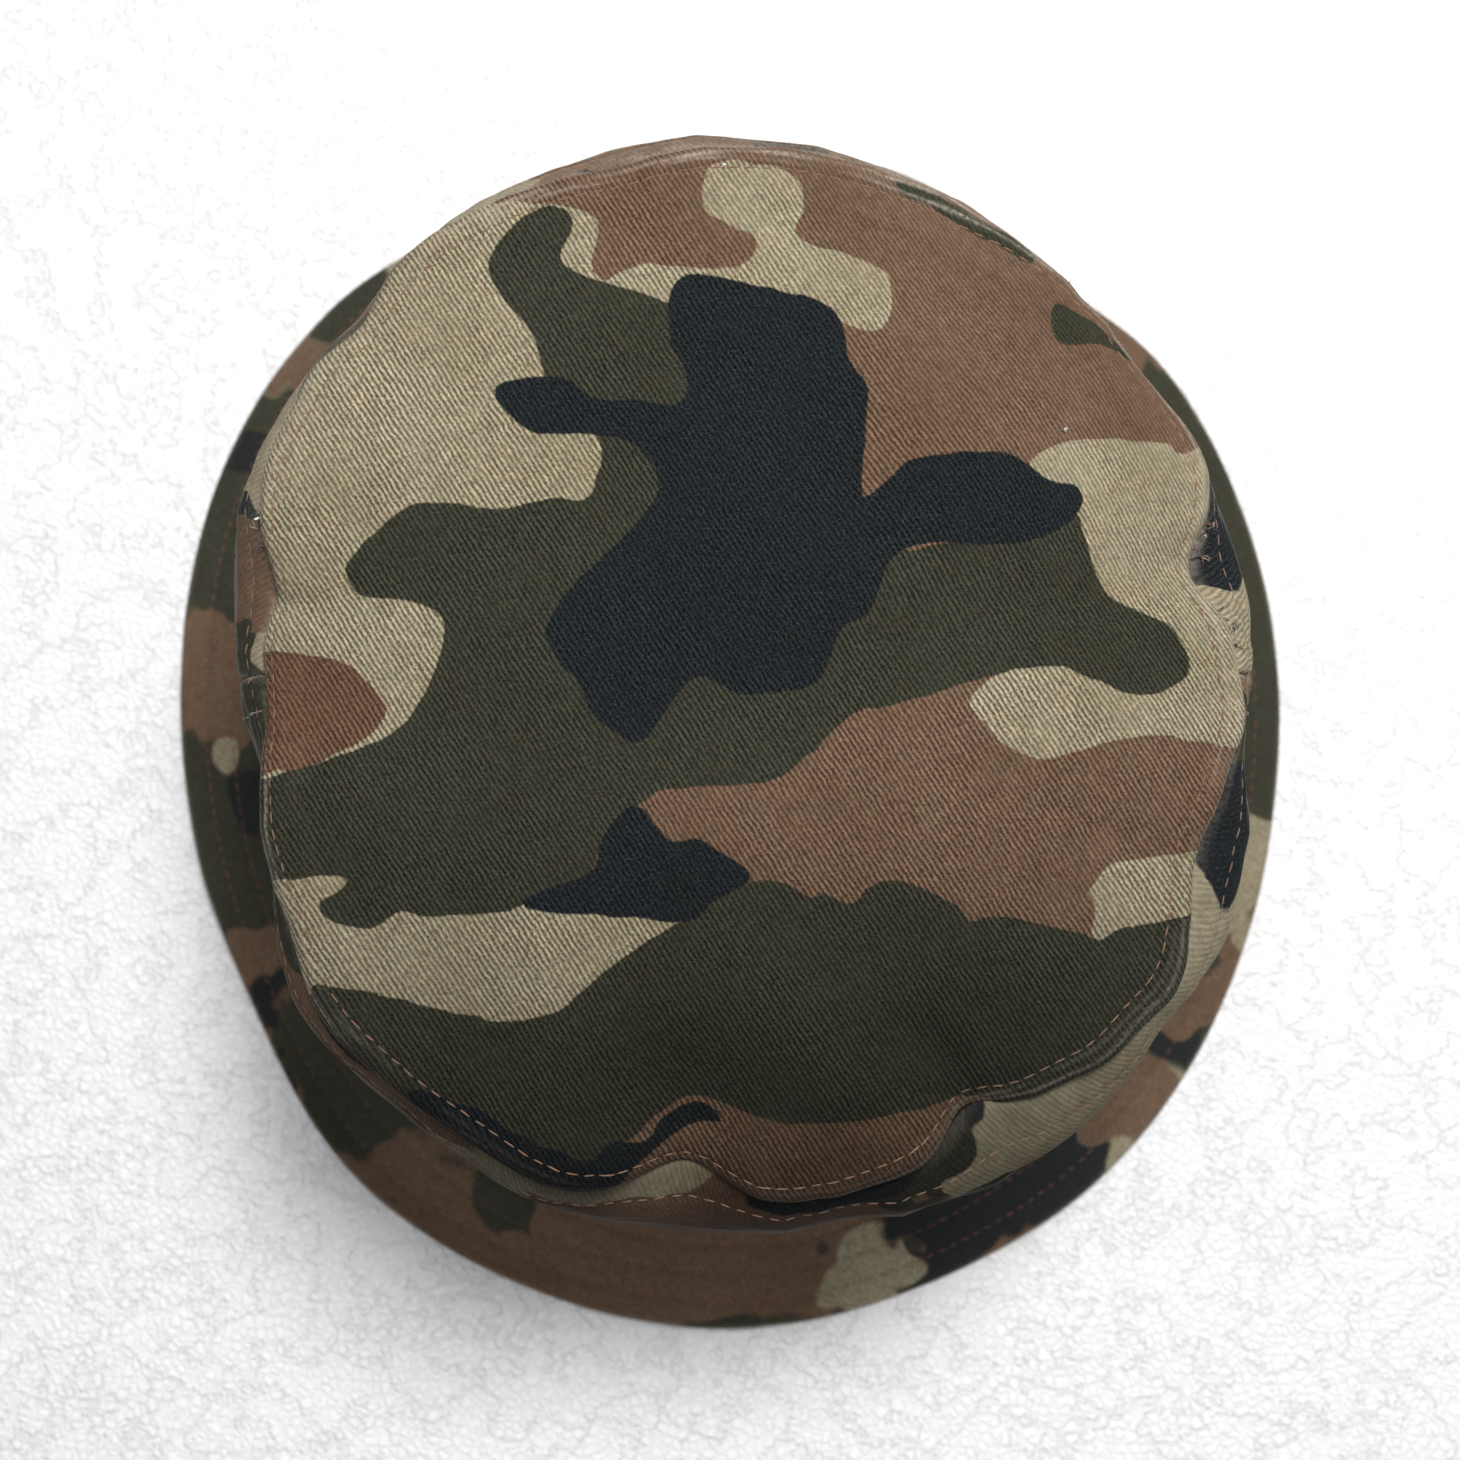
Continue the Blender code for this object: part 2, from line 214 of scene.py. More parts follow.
def puckers(angle, depth, row, seed):
    """Small folds square to a row of stitches."""
    along = np.stack([angle * NOISE_RING, depth * 0.3, 0 * depth], axis=-1)
    fine = noise(along, 3.4 * MM, seed) + 0.6 * noise(along, 6.5 * MM, seed + 1)
    return 0.28 * MM * fine * bell(depth - row, 5 * MM) - 0.45 * MM * bell(depth - row, 0.8 * MM)


def tip_surface(angle, depth):
    """Points on the tip, where depth is the distance in from the seam."""
    roll = seam_roll(angle)
    turned = np.clip(math.pi / 2 - depth / roll, 0, math.pi / 2)
    inset = np.where(turned > 0, roll * (1 - np.sin(turned)), depth - roll * (math.pi / 2 - 1))
    share = 1 - inset / TIP_SIZE
    place = tip_oval(angle, share, inset)
    flat = place * [1, 1, 0]
    height = SEAM_Z + DOME * (1 - share**2)
    height = height - humps(angle, SEAM_DROP) * np.exp(-((inset / (38 * MM)) ** 1.3))
    height = height - roll * (1 - np.cos(turned))
    for x, y, radius, deep in TIP_DENTS:
        far = np.hypot(place[..., 0] / MM - x, place[..., 1] / MM - y)
        height = height - deep * MM * bell(far, radius)
    for centre, width, deep, reach in TIP_FOLDS:
        fold = humps(angle, [(centre, width, deep)])
        height = height - fold * bell(depth, reach * MM) * smooth(share * 3)
    height = height + 0.8 * MM * fractal(flat, 34 * MM, 11) + 0.16 * MM * fractal(flat, 9 * MM, 17)
    place[..., 2] = height
    bump = seam_allowance(depth) + puckers(angle, depth, TIP_STITCH, 21) + fine_ridges(angle, depth)
    upright = np.array([0, 0, 1.0])
    normal = ring(angle, 1, 1, 0) * np.sin(turned)[..., None] + upright * np.cos(turned)[..., None]
    return place + normal * bump[..., None]


def wall_surface(angle, depth, inset=0.0):
    """Points on the crown's wall, where depth is the distance down from the seam."""
    share = np.clip(1 - depth / WALL_HEIGHT, 0, 1)
    swell = (WALL_BULGE + humps(angle, WALL_SWELL)) * np.sin(math.pi * share**1.6)
    near_top = depth / (9 * MM)
    rise = np.where(near_top < 1, 1 - (1 - np.clip(near_top, 0, 1)) ** 2, 0)
    fall = np.where(near_top >= 1, smooth(1 - (near_top - 1) / 4), 0)
    swell = swell + humps(angle, SHOULDER) * (rise + fall)
    swell = swell + humps(angle, SEAM_SWAY) * np.exp(-depth / (8 * MM))
    radius_x = BAND_A + (TIP_A - BAND_A) * share + swell - inset
    radius_y = BAND_B + (TIP_B - BAND_B) * share + swell - inset
    z = BRIM_Z + (SEAM_Z - BRIM_Z) * share - (humps(angle, SEAM_DROP) + seam_roll(angle)) * share**2
    around = ring(angle, NOISE_RING, NOISE_RING, 0)
    around[..., 2] = depth * 0.45
    soft = np.sin(math.pi * share) ** 0.6
    fold = 2.4 * MM * noise(around, 26 * MM, 31)
    crease = 1 - np.abs(noise(around, 17 * MM, 33)) * 2
    fold = (fold + 1.1 * MM * crease) * soft
    around[..., 2] = depth * 1.6
    fold = fold + 0.35 * MM * noise(around, 7 * MM, 35) * soft**0.3 * smooth(depth / (2 * MM))
    fold = fold + seam_allowance(depth) + puckers(angle, depth, WALL_STITCH, 25)
    fold = fold + 0.25 * MM * puckers(angle, WALL_HEIGHT - depth, 0, 27) / MM * smooth(share * 20)
    for side in (0, math.pi):
        apart = np.abs(turn_from(angle, side)) * BAND_B
        fold = fold - 0.5 * MM * np.exp(-apart / (0.5 * MM))
        fold = fold + 0.4 * MM * smooth((6 * MM - apart) / (1 * MM)) * smooth(apart / (0.6 * MM))
    outward = ring(angle, 1, 1, 0)
    place = ring(angle, radius_x, radius_y, 0) + outward * fold[..., None]
    place[..., 2] = z
    return place


# ---- the brim's shape

# Where the rim strays from its oval, and where it lifts off the table: (angle, width in degrees, mm)
RIM_SWAY = [
    (54, 12, -4.0), (72, 30, -5.5), (47, 8, -2.0), (110, 20, -6.0), (92, 15, -1.0), (125, 8, -1.5),
    (158, 16, 1.3), (207, 13, -2.8), (188, 10, -0.8), (228, 14, 2.0), (258, 10, -0.6), (262, 24, 0.6),
    (290, 20, -1.2), (322, 22, 1.8),
]
RIM_LIFT = [(60, 16, 2.5), (150, 20, 2.0), (200, 14, 2.5), (262, 24, 1.8), (310, 14, 2.2), (10, 15, 1.6)]


def brim_profile(outset):
    """Height of the brim's underside over the table."""
    slope_end = BRIM_OUTSET - RIM_FLAT
    straight = BRIM_Z * (1 - outset / slope_end)
    soft = 1.2 * MM
    return soft * np.logaddexp(0, straight / soft) - soft * np.logaddexp(0, -RIM_FLAT * 0.6 / soft)


def brim_surface(angle, outset, lift):
    """Points on the brim, lift above its underside."""
    share = outset / BRIM_OUTSET
    reach = outset + humps(angle, RIM_SWAY) * share**2
    z = brim_profile(outset) + humps(angle, RIM_LIFT) * share**2
    place = ring(angle, BAND_A + reach, BAND_B + reach, 0)
    ripple = noise(place, 24 * MM, 41) + 0.5 * noise(place, 11 * MM, 43)
    z = z + 0.5 * MM * (ripple + 1) * smooth(share * 2)
    slope = math.atan2(BRIM_Z, BRIM_OUTSET - RIM_FLAT)
    place[..., 2] = z + lift / math.cos(slope)
    return place


def brim_groove(outset):
    """How far a row of stitching pulls the cloth in."""
    return 0.4 * MM * sum(bell(outset - row, 1.1 * MM) for row in BRIM_ROWS)


# ---- meshes from grids


def new_object(name, mesh):
    made = bpy.data.objects.new(name, mesh)
    bpy.context.scene.collection.objects.link(made)
    return made


def grid_faces(rows, columns, closed):
    upper = np.arange(rows - 1)[:, None] * columns
    left = np.arange(columns if closed else columns - 1)[None, :]
    right = (left + 1) % columns
    faces = np.stack([upper + left, upper + columns + left, upper + columns + right, upper + right], -1)
    return faces.reshape(-1, 4)


def sheet(name, points, material, closed=False, attributes=None, drop=None, cap=False):
    """A smooth sheet through a (rows, columns, 3) grid. drop marks vertices whose faces are left out.

    cap closes the small ring that the first row leaves open.
    """
    rows, columns = points.shape[:2]
    faces = grid_faces(rows, columns, closed)
    if drop is not None:
        faces = faces[~drop.reshape(-1)[faces].any(axis=1)]
    faces = faces.tolist()
    if cap:
        faces.append(list(range(columns)))
    mesh = bpy.data.meshes.new(name)
    mesh.from_pydata(points.reshape(-1, 3).tolist(), [], faces)
    for key, values in (attributes or {}).items():
        kind, field = ("FLOAT_VECTOR", "vector") if values.ndim == 3 else ("FLOAT", "value")
        layer = mesh.attributes.new(key, kind, "POINT")
        layer.data.foreach_set(field, values.astype(np.float32).reshape(-1))
    mesh.materials.append(material)
    mesh.shade_smooth()
    mesh.validate()
    return new_object(name, mesh)


def thicken(piece, thickness, inner=None):
    """Gives the sheet its thickness inward, with another material on its inner side."""
    solidify = piece.modifiers.new("thickness", "SOLIDIFY")
    solidify.thickness = thickness
    solidify.offset = -1
    if inner is not None:
        piece.data.materials.append(inner)
        solidify.material_offset = 1


def fasten(piece, slot, *nodes):
    """Fixes a piece to the crown, and hides the CAD nodes it stands for. slot, its finish slot, is not
    used.
    """
    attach(piece, "crown")
    if nodes:
        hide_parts(*nodes)


# ---- stitches


def even_places(path, pitch, jitter, seed):
    """Places along a dense path, a pitch apart, with the path's direction there."""
    steps = np.linalg.norm(np.diff(path, axis=0), axis=1)
    length = np.concatenate([[0], np.cumsum(steps)])
    count = max(1, int(length[-1] / pitch))
    at = (np.arange(count) + 0.5) * length[-1] / count
    at = at + np.random.default_rng(seed).uniform(-jitter, jitter, count)
    middle = np.stack([np.interp(at, length, path[:, i]) for i in range(3)], -1)
    ahead = np.stack([np.interp(at + 0.3 * MM, length, path[:, i]) for i in range(3)], -1)
    behind = np.stack([np.interp(at - 0.3 * MM, length, path[:, i]) for i in range(3)], -1)
    along = ahead - behind
    return middle, along / np.linalg.norm(along, axis=1)[:, None], at, length


def stitches(name, runs, material, radius=0.16 * MM, long=2.9 * MM, sides=6, sink=0.10 * MM):
    """One mesh of separate stitches. Each run is (path, outward directions on the path, seed)."""
    shares = np.array([-1, -0.82, -0.35, 0.35, 0.82, 1.0])
    widths = np.array([0.35, 0.8, 1.0, 1.0, 0.8, 0.35])
    turn = np.arange(sides) * math.tau / sides
    points = []
    for path, outward, seed in runs:
        middle, along, at, length = even_places(path, STITCH_PITCH, 0.12 * MM, seed)
        out = np.stack([np.interp(at, length, outward[:, i]) for i in range(3)], -1)
        out = out - along * (out * along).sum(1)[:, None]
        out = out / np.linalg.norm(out, axis=1)[:, None]
        side = np.cross(out, along)
        rng = np.random.default_rng(seed + 1)
        tilt = rng.normal(0, 0.07, len(at))[:, None]
        along = along + side * tilt
        side = np.cross(out, along)
        half = (long / 2) * rng.uniform(0.9, 1.08, len(at))
        for k in range(len(at)):
            lift = radius * (0.9 - 1.7 * shares**2) - sink
            centre = middle[k] + along[k] * (shares * half[k])[:, None] + out[k] * lift[:, None]
            circle = side[k] * np.cos(turn)[:, None] + out[k] * np.sin(turn)[:, None]
            block = centre[:, None, :] + circle[None] * (widths * radius)[:, None, None]
            points.append(block.reshape(-1, 3))
    cell = grid_faces(len(shares), sides, True)
    starts = np.arange(len(points))[:, None, None] * len(shares) * sides
    quads = (cell[None] + starts).reshape(-1, 4)[:, ::-1]
    last = (len(shares) - 1) * sides
    first_caps = (np.arange(sides)[None] + starts[:, 0])[:, ::-1]
    last_caps = np.arange(sides)[None] + last + starts[:, 0]
    mesh = bpy.data.meshes.new(name)
    every_face = quads.tolist() + first_caps.tolist() + last_caps.tolist()
    mesh.from_pydata(np.concatenate(points).tolist(), [], every_face)
    mesh.materials.append(material)
    mesh.shade_smooth()
    mesh.validate()
    return new_object(name, mesh)


def outward_of(surface, angle, across):
    """Unit outward directions of a surface at angles, by small steps. across is the second coordinate."""
    step = 0.4 * MM
    here = surface(angle, across)
    beside = surface(angle + 0.004, across) - here
    below = surface(angle, across + step) - here
    out = np.cross(below, beside)
    return out / np.linalg.norm(out, axis=1)[:, None]


# ---- the printed pattern

# Outlines of the print on the crown tip, in mm from the hat's middle, +X right and +Y to the rear.
TIP_BLACK = [
    [(-11, 66), (-7, 69), (5, 67), (17, 63), (20, 54), (23, 48), (22, 30), (30, 36), (46, 38), (54, 33),
     (59, 32), (60, 29), (57, 25), (48, 22), (29, 21), (23, 10), (18, 7), (14, -2), (2, -4), (-3, -2),
     (-8, -2), (-16, -12), (-24, -8), (-26, -3), (-32, 9), (-14, 29), (-17, 39), (-28, 41), (-35, 41),
     (-41, 47), (-40, 50), (-30, 51), (-24, 47), (-16, 47), (-10, 46), (-8, 51), (-11, 57)],
    [(-37, -40), (-24, -34), (-23, -30), (-17, -23), (-11, -29), (-6, -29), (3, -35), (-4, -40),
     (-8, -43), (-21, -42)],
    [(-56, -72), (-45, -75), (-38, -79), (-26, -84), (-21, -81), (-15, -81), (-12, -77), (-6, -75),
     (-2, -78), (-8, -79), (-17, -85), (-25, -91), (-49, -80)],
]
TIP_GREEN = [
    [(-30, 81), (-28, 78), (-30, 74), (-28, 70), (-11, 64), (4, 59), (20, 30), (29, 21), (36, 22),
     (53, 23), (59, 28), (64, 14), (75, 8), (78, -1), (68, -4), (53, 1), (27, -6), (21, -7), (8, -18),
     (-8, -20), (-14, -21), (-23, -30), (-24, -34), (-39, -41), (-52, -42), (-57, -41), (-62, -44),
     (-68, -43), (-71, -40), (-67, -37), (-68, -35), (-83, -35), (-84, -19), (-79, -18), (-58, -10),
     (-50, 5), (-53, 11), (-64, 13), (-67, 17), (-66, 20), (-57, 28), (-52, 29), (-39, 28), (-31, 30),
     (-25, 30), (-23, 40), (-30, 44), (-35, 58), (-43, 70), (-36, 80)],
    [(-67, -54), (-36, -60), (-19, -49), (3, -36), (13, -39), (15, -38), (20, -40), (23, -37), (28, -36),
     (38, -40), (40, -43), (45, -42), (60, -45), (62, -47), (68, -44), (78, -42), (86, -40), (86, -66),
     (54, -76), (43, -74), (28, -77), (9, -78), (-8, -74), (-19, -81), (-40, -89), (-70, -66),
     (-73, -56)],
    [(55, 62), (58, 64), (71, 55), (64, 57), (57, 57)],
    [(30, 86), (44, 79), (52, 74), (50, 72), (35, 81), (29, 84)],
]
TIP_TAN = [
    [(-94, 26), (-53, 79), (-41, 82), (-25, 80), (-25, 71), (-23, 67), (-28, 58), (-18, 44), (-14, 30),
     (-30, 19), (-44, 10), (-42, 0), (-46, -10), (-58, -20), (-78, -26), (-93, -22)],
    [(-4, 89), (6, 89), (11, 86), (12, 81), (11, 76), (24, 71), (27, 68), (27, 62), (23, 59), (11, 63),
     (-6, 63), (-23, 66), (-16, 71), (-6, 70), (2, 71), (4, 74), (2, 77), (-5, 81)],
    [(51, 35), (58, 40), (74, 40), (78, 38), (88, 40), (96, 12), (95, -12), (71, -11), (52, -15),
     (41, -7), (43, -2), (54, 4), (63, 5), (58, 26)],
    [(66, -33), (80, -31), (90, -29), (86, -44), (68, -46), (62, -47), (62, -40), (61, -38)],
    [(-88, -31), (-60, -32), (-50, -36), (-6, -38), (-6, -44), (-23, -60), (-40, -63), (-57, -61),
     (-66, -56), (-76, -54)],
]
TIP_BROWN_ON_TAN = [
    [(-86, 3), (-69, 2), (-60, -8), (-74, -17), (-79, -17), (-85, -18), (-87, -5)],
]


def rounded(outline, steps=5):
    """A closed Catmull-Rom curve through the outline's points."""
    p = np.array(outline, float)
    before, after, beyond = np.roll(p, 1, 0), np.roll(p, -1, 0), np.roll(p, -2, 0)
    bend = 2 * before - 5 * p + 4 * after - beyond
    twist = 3 * p - before - 3 * after + beyond
    shares = np.arange(steps) / steps
    parts = [0.5 * (2 * p + (after - before) * t + bend * t**2 + twist * t**3) for t in shares]
    return np.stack(parts, 1).reshape(-1, 2)


def inside_distance(outline, x, y):
    """Signed distance to a closed outline, above zero inside it."""
    curve = rounded(outline)
    nearest = np.full(x.shape, 1e9)
    inside = np.zeros(x.shape, bool)
    for (ax, ay), (bx, by) in zip(curve, np.roll(curve, -1, 0)):
        ex, ey = bx - ax, by - ay
        wx, wy = x - ax, y - ay
        t = np.clip((wx * ex + wy * ey) / (ex * ex + ey * ey + 1e-12), 0, 1)
        nearest = np.minimum(nearest, (wx - t * ex) ** 2 + (wy - t * ey) ** 2)
        if ay != by:
            inside ^= ((ay > y) != (by > y)) & (x < ex * (y - ay) / ey + ax)
    return np.where(inside, 1, -1) * np.sqrt(nearest)


def tip_print(points):
    """Signed distances in mm of each colour of the print on the tip."""
    x, y = points[..., 0] / MM, points[..., 1] / MM
    wobble = points * [1, 1, 0]
    x = x + 0.35 * noise(wobble, 3 * MM, 51)
    y = y + 0.35 * noise(wobble, 3 * MM, 52)
    layers = {"tan": TIP_TAN, "brown": TIP_BROWN_ON_TAN, "green": TIP_GREEN, "black": TIP_BLACK}
    return {
        name: np.max([inside_distance(outline, x, y) for outline in outlines], axis=0)
        for name, outlines in layers.items()
    }


# How the endless print is laid down: (layer, size in mm, how rare, seed)
LAYERS = [("tan", 46, 0.10, 61), ("brown", 40, 0.42, 71), ("green", 50, 0.12, 81), ("black", 40, 0.36, 91)]


def endless_print(flat, shift):
    """The same print away from the tip, from warped noise. flat is the place on the cloth, in metres."""
    place = flat + np.array([shift, 0.37 * shift, 0])
    bend = np.stack([noise(place, 22 * MM, 55), noise(place, 22 * MM, 56), 0 * place[..., 0]], -1)
    place = place + bend * 7 * MM
    found = {}
    for name, size, rare, seed in LAYERS:
        stretch = place * [1, 1.5, 1]
        value = noise(stretch, size * MM, seed) + 0.45 * noise(stretch, size * 0.45 * MM, seed + 1)
        found[name] = (value - rare) * size * 0.45
    return found


def paint(found, angle, across, table, wobble, stretch, full_size):
    """Lays a table's patches over the print, each over the last, and clears the layers above its colour.

    across is the second coordinate, in mm. stretch turns a patch's degrees into mm, and a patch smaller
    than full_size, in mm, wobbles less.
    """
    order = ["base", "tan", "brown", "green", "black"]
    for centre, middle, half_angle, half_across, layer in table:
        along = turn_from(angle, math.radians(centre)) / math.radians(half_angle)
        beyond = (across - middle) / half_across
        size = min(half_across, half_angle * stretch)
        amount = (1 - np.hypot(along, beyond)) * size + wobble * min(1, size / full_size)
        if layer != "base":
            found[layer] = np.maximum(found[layer], amount)
        for name in order[order.index(layer) + 1 :]:
            found[name] = np.minimum(found[name], -amount)


# ---- materials

WALE_PITCH = 0.88 * MM
WALE_LEAN = math.radians(33)
# Each colour of the print: a copy in painted shade for the furrows of the twill, and a copy in painted
# light for its ribs
PRINT_COLOURS = {
    "base": ((0.050, 0.0245, 0.0155), (0.212, 0.142, 0.096)),
    "tan": ((0.085, 0.073, 0.048), (0.440, 0.396, 0.283)),
    "brown": ((0.046, 0.020, 0.012), (0.182, 0.110, 0.072)),
    "green": ((0.0085, 0.0098, 0.0064), (0.058, 0.059, 0.041)),
    "black": ((0.0016, 0.0026, 0.0036), (0.0185, 0.0240, 0.0290)),
}


class Nodes:
    """Short calls for building a node tree."""

    def __init__(self, name):
        self.material = bpy.data.materials.new(name)
        self.material.use_nodes = True
        self.tree = self.material.node_tree
        self.shader = self.tree.nodes["Principled BSDF"]

    def new(self, kind, **settings):
        node = self.tree.nodes.new("ShaderNode" + kind)
        for key, value in settings.items():
            setattr(node, key, value)
        return node

    def link(self, source, target):
        self.tree.links.new(source, target)

    def feed(self, socket, value):
        if hasattr(value, "is_output"):
            self.link(value, socket)
        else:
            socket.default_value = value

    def fed(self, kind, values, **settings):
        """A new node with values fed to its first inputs."""
        node = self.new(kind, **settings)
        for socket, value in zip(node.inputs, values):
            self.feed(socket, value)
        return node

    def math(self, operation, a, b=0.0, c=0.0):
        return self.fed("Math", (a, b, c), operation=operation).outputs[0]

    def attribute(self, name, output="Fac"):
        return self.new("Attribute", attribute_name=name).outputs[output]

    def dot(self, vector, direction):
        return self.fed("VectorMath", (vector, direction), operation="DOT_PRODUCT").outputs["Value"]

    def stretched(self, vector, scale):
        return self.fed("VectorMath", (vector, scale), operation="MULTIPLY").outputs[0]

    def shifted(self, vector, value, reach):
        """The vector moved sideways by up to reach, by a value from 0 to 1."""
        values = (value, (reach, -reach, 0), vector)
        return self.fed("VectorMath", values, operation="MULTIPLY_ADD").outputs[0]

    def noise(self, vector, size, detail=2.0, rough=0.5):
        node = self.new("TexNoise")
        self.link(vector, node.inputs["Vector"])
        node.inputs["Scale"].default_value = 1 / size
        node.inputs["Detail"].default_value = detail
        node.inputs["Roughness"].default_value = rough
        return node.outputs["Fac"]

    def span(self, value, low, high, to_low=0.0, to_high=1.0, smooth_step=False):
        kind = "SMOOTHSTEP" if smooth_step else "LINEAR"
        return self.fed("MapRange", (value, low, high, to_low, to_high), interpolation_type=kind).outputs[0]

    def mix(self, share, a, b, blend="MIX"):
        node = self.new("Mix", data_type="RGBA", blend_type=blend)
        self.feed(node.inputs["Factor"], share)
        self.feed(node.inputs[6], a)
        self.feed(node.inputs[7], b)
        return node.outputs[2]

    def times(self, a, b):
        return self.mix(1.0, a, b, "MULTIPLY")

    def grey(self, value):
        return self.fed("CombineColor", (value, value, value)).outputs[0]

    def relief(self, height, distance, strength=1.0):
        """Embosses the surface by a height."""
        node = self.new("Bump")
        node.inputs["Distance"].default_value = distance
        node.inputs["Strength"].default_value = strength
        self.link(height, node.inputs["Height"])
        self.link(node.outputs["Normal"], self.shader.inputs["Normal"])

    def finish(self, **settings):
        """Sets the shader's inputs, each by its name in small letters, with _ between words."""
        for name, value in settings.items():
            title = name.replace("_", " ").title().replace("Ior", "IOR")
            self.feed(self.shader.inputs[title], value)
        return self.material


def rgba(colour, gain=1.0):
    return (*(min(1.0, c * gain) for c in colour), 1.0)


def twill_rib(n, cloth):
    """The diagonal rib of the twill, from 0 in a furrow to 1 on a rib, broken up by the yarns."""
    turn = math.tau / WALE_PITCH
    across = (math.cos(WALE_LEAN) * turn, math.sin(WALE_LEAN) * turn, 0)
    wander = n.math("MULTIPLY", n.noise(cloth, 4.0 * MM, 4.0, 0.65), 7.0)
    phase = n.math("ADD", n.dot(cloth, across), wander)
    rib = n.math("MULTIPLY_ADD", n.math("SINE", phase), 0.5, 0.5)
    lengthwise = n.new("VectorRotate", rotation_type="Z_AXIS")
    lengthwise.inputs["Angle"].default_value = -WALE_LEAN
    n.link(cloth, lengthwise.inputs["Vector"])
    dash = n.noise(n.stretched(lengthwise.outputs[0], (2.2, 0.8, 1)), 1.0 * MM, 2.0, 0.6)
    yarn = n.math("SUBTRACT", n.noise(cloth, 0.50 * MM, 2.0, 0.75), 0.5)
    height = n.math("MULTIPLY", rib, n.span(dash, 0.25, 0.7, 0.40, 1.1))
    return n.math("MULTIPLY_ADD", yarn, 1.7, height)


# The yarn that shows through on the wrong side, and the dust that pales the brim
WRONG_SIDE = (0.20, 0.165, 0.11)
DUST = (0.15, 0.14, 0.115)


def printed_twill(name, gain=1.0, relief=0.13 * MM, through=1.0, contrast=1.15, dust=0.0):
    """Washed cotton twill with the camouflage print. On the wrong side only a share of it comes through."""
    n = Nodes(name)
    cloth = n.attribute("cloth", "Vector")
    rib = twill_rib(n, cloth)
    ragged = n.math("MULTIPLY_ADD", n.noise(cloth, 0.8 * MM, 2.0), 0.5, -0.25)
    # furrow holds the print in painted shade and ridge holds it in painted light, mixed below by the rib's
    # height
    furrow, ridge = (rgba(colour, gain) for colour in PRINT_COLOURS["base"])
    for layer in ("tan", "brown", "green", "black"):
        amount = n.math("ADD", n.attribute(layer), ragged)
        share = n.span(amount, -0.22, 0.22, smooth_step=True)
        dark, light = PRINT_COLOURS[layer]
        furrow = n.mix(share, furrow, rgba(dark, gain))
        ridge = n.mix(share, ridge, rgba(light, gain))
    # rubbed sets, in patches, how strongly the twill's painted light and shade show, and less toward the
    # right rear
    rubbed = n.span(n.noise(cloth, 14 * MM, 5.0, 0.65), 0.32, 0.68, 0.50, 1.10)
    to_right_rear = n.dot(cloth, (0.6, 0.8, 0))
    rubbed = n.math("MULTIPLY", rubbed, n.span(to_right_rear, 48 * MM, 88 * MM, contrast, 0.5 * contrast))
    level = n.math("MULTIPLY_ADD", n.math("SUBTRACT", n.span(rib, 0.0, 0.95), 0.5), rubbed, 0.5)
    colour = n.mix(level, furrow, ridge)
    heather = n.span(n.noise(cloth, 2.4 * MM, 5.0, 0.8), 0.25, 0.75, 0.68, 1.32)
    colour = n.times(colour, n.grey(heather))
    tint = n.span(n.noise(cloth, 6 * MM, 4.0, 0.7), 0.35, 0.65)
    colour = n.times(colour, n.mix(tint, rgba((1.0, 0.93, 0.88)), rgba((0.95, 0.97, 0.92))))
    stained = n.times(colour, rgba((0.84, 0.82, 0.78)))
    colour = n.mix(n.span(n.noise(cloth, 26 * MM, 5.0, 0.65), 0.38, 0.62), stained, colour)
    fleck = n.span(n.noise(cloth, 0.42 * MM, 2.0, 0.7), 0.52, 0.80)
    colour = n.mix(n.math("MULTIPLY", fleck, 0.10), colour, rgba((0.37, 0.38, 0.35)))
    threadbare = n.span(n.noise(cloth, 0.9 * MM, 3.0, 0.7), 0.30, 0.62)
    worn = n.math("MINIMUM", n.math("MULTIPLY", n.attribute("wear"), threadbare), 0.8)
    colour = n.mix(worn, colour, rgba((0.40, 0.345, 0.29)))
    colour = n.mix(dust, colour, rgba(DUST))
    colour = n.mix(through, rgba(WRONG_SIDE), colour)
    # Painted sheen: the colour is paled where the cloth is seen edge-on, more where it is threadbare
    edge_on = n.new("LayerWeight").outputs["Facing"]
    edge_on = n.span(edge_on, 0.74, 1.0, smooth_step=True)
    painted_fuzz_sheen = n.math("MULTIPLY", edge_on, n.math("MULTIPLY", threadbare, 0.5))
    colour = n.mix(painted_fuzz_sheen, colour, rgba((0.40, 0.37, 0.31)))
    # Painted shade: the colour is darkened by the shade attribute, most toward the front of the hat
    unshaded = n.math("SUBTRACT", 1.0, n.attribute("soil"))
    n.relief(rib, relief, 0.9)
    return n.finish(base_color=n.times(colour, n.grey(unshaded)), roughness=0.95, specular_ior_level=0.10)


def plain_weave(name, colour, size, depth):
    """A plain woven cloth in one yarn colour, with some yarns lighter, and painted light and shade on its
    weave.
    """
    n = Nodes(name)
    cloth = n.attribute("cloth", "Vector")
    turn = math.tau / size
    warp = n.math("SINE", n.dot(cloth, (turn, 0, 0)))
    weft = n.math("SINE", n.dot(cloth, (0, turn, 0)))
    weave = n.math("MULTIPLY_ADD", n.math("MULTIPLY", warp, weft), 0.5, 0.5)
    mottle = n.noise(cloth, size * 6, 4.0, 0.65)
    tone = n.mix(weave, rgba(colour, 0.6), rgba(colour, 1.35))
    tone = n.mix(n.span(mottle, 0.3, 0.7), n.times(tone, rgba((0.75, 0.75, 0.75))), tone)
    n.relief(weave, depth)
    return n.finish(base_color=tone, roughness=0.95, specular_ior_level=0.15)


def thread_material(name, colour):
    """Twisted sewing thread."""
    n = Nodes(name)
    place = n.new("TexCoord").outputs["Object"]
    tone = n.span(n.noise(place, 2.5 * MM, 3.0, 0.7), 0.3, 0.7)
    n.relief(n.noise(place, 0.25 * MM, 2.0), 0.06 * MM)
    twisted = n.mix(tone, rgba(colour, 0.6), rgba(colour, 1.25))
    return n.finish(base_color=twisted, roughness=0.6, sheen_weight=0.2)


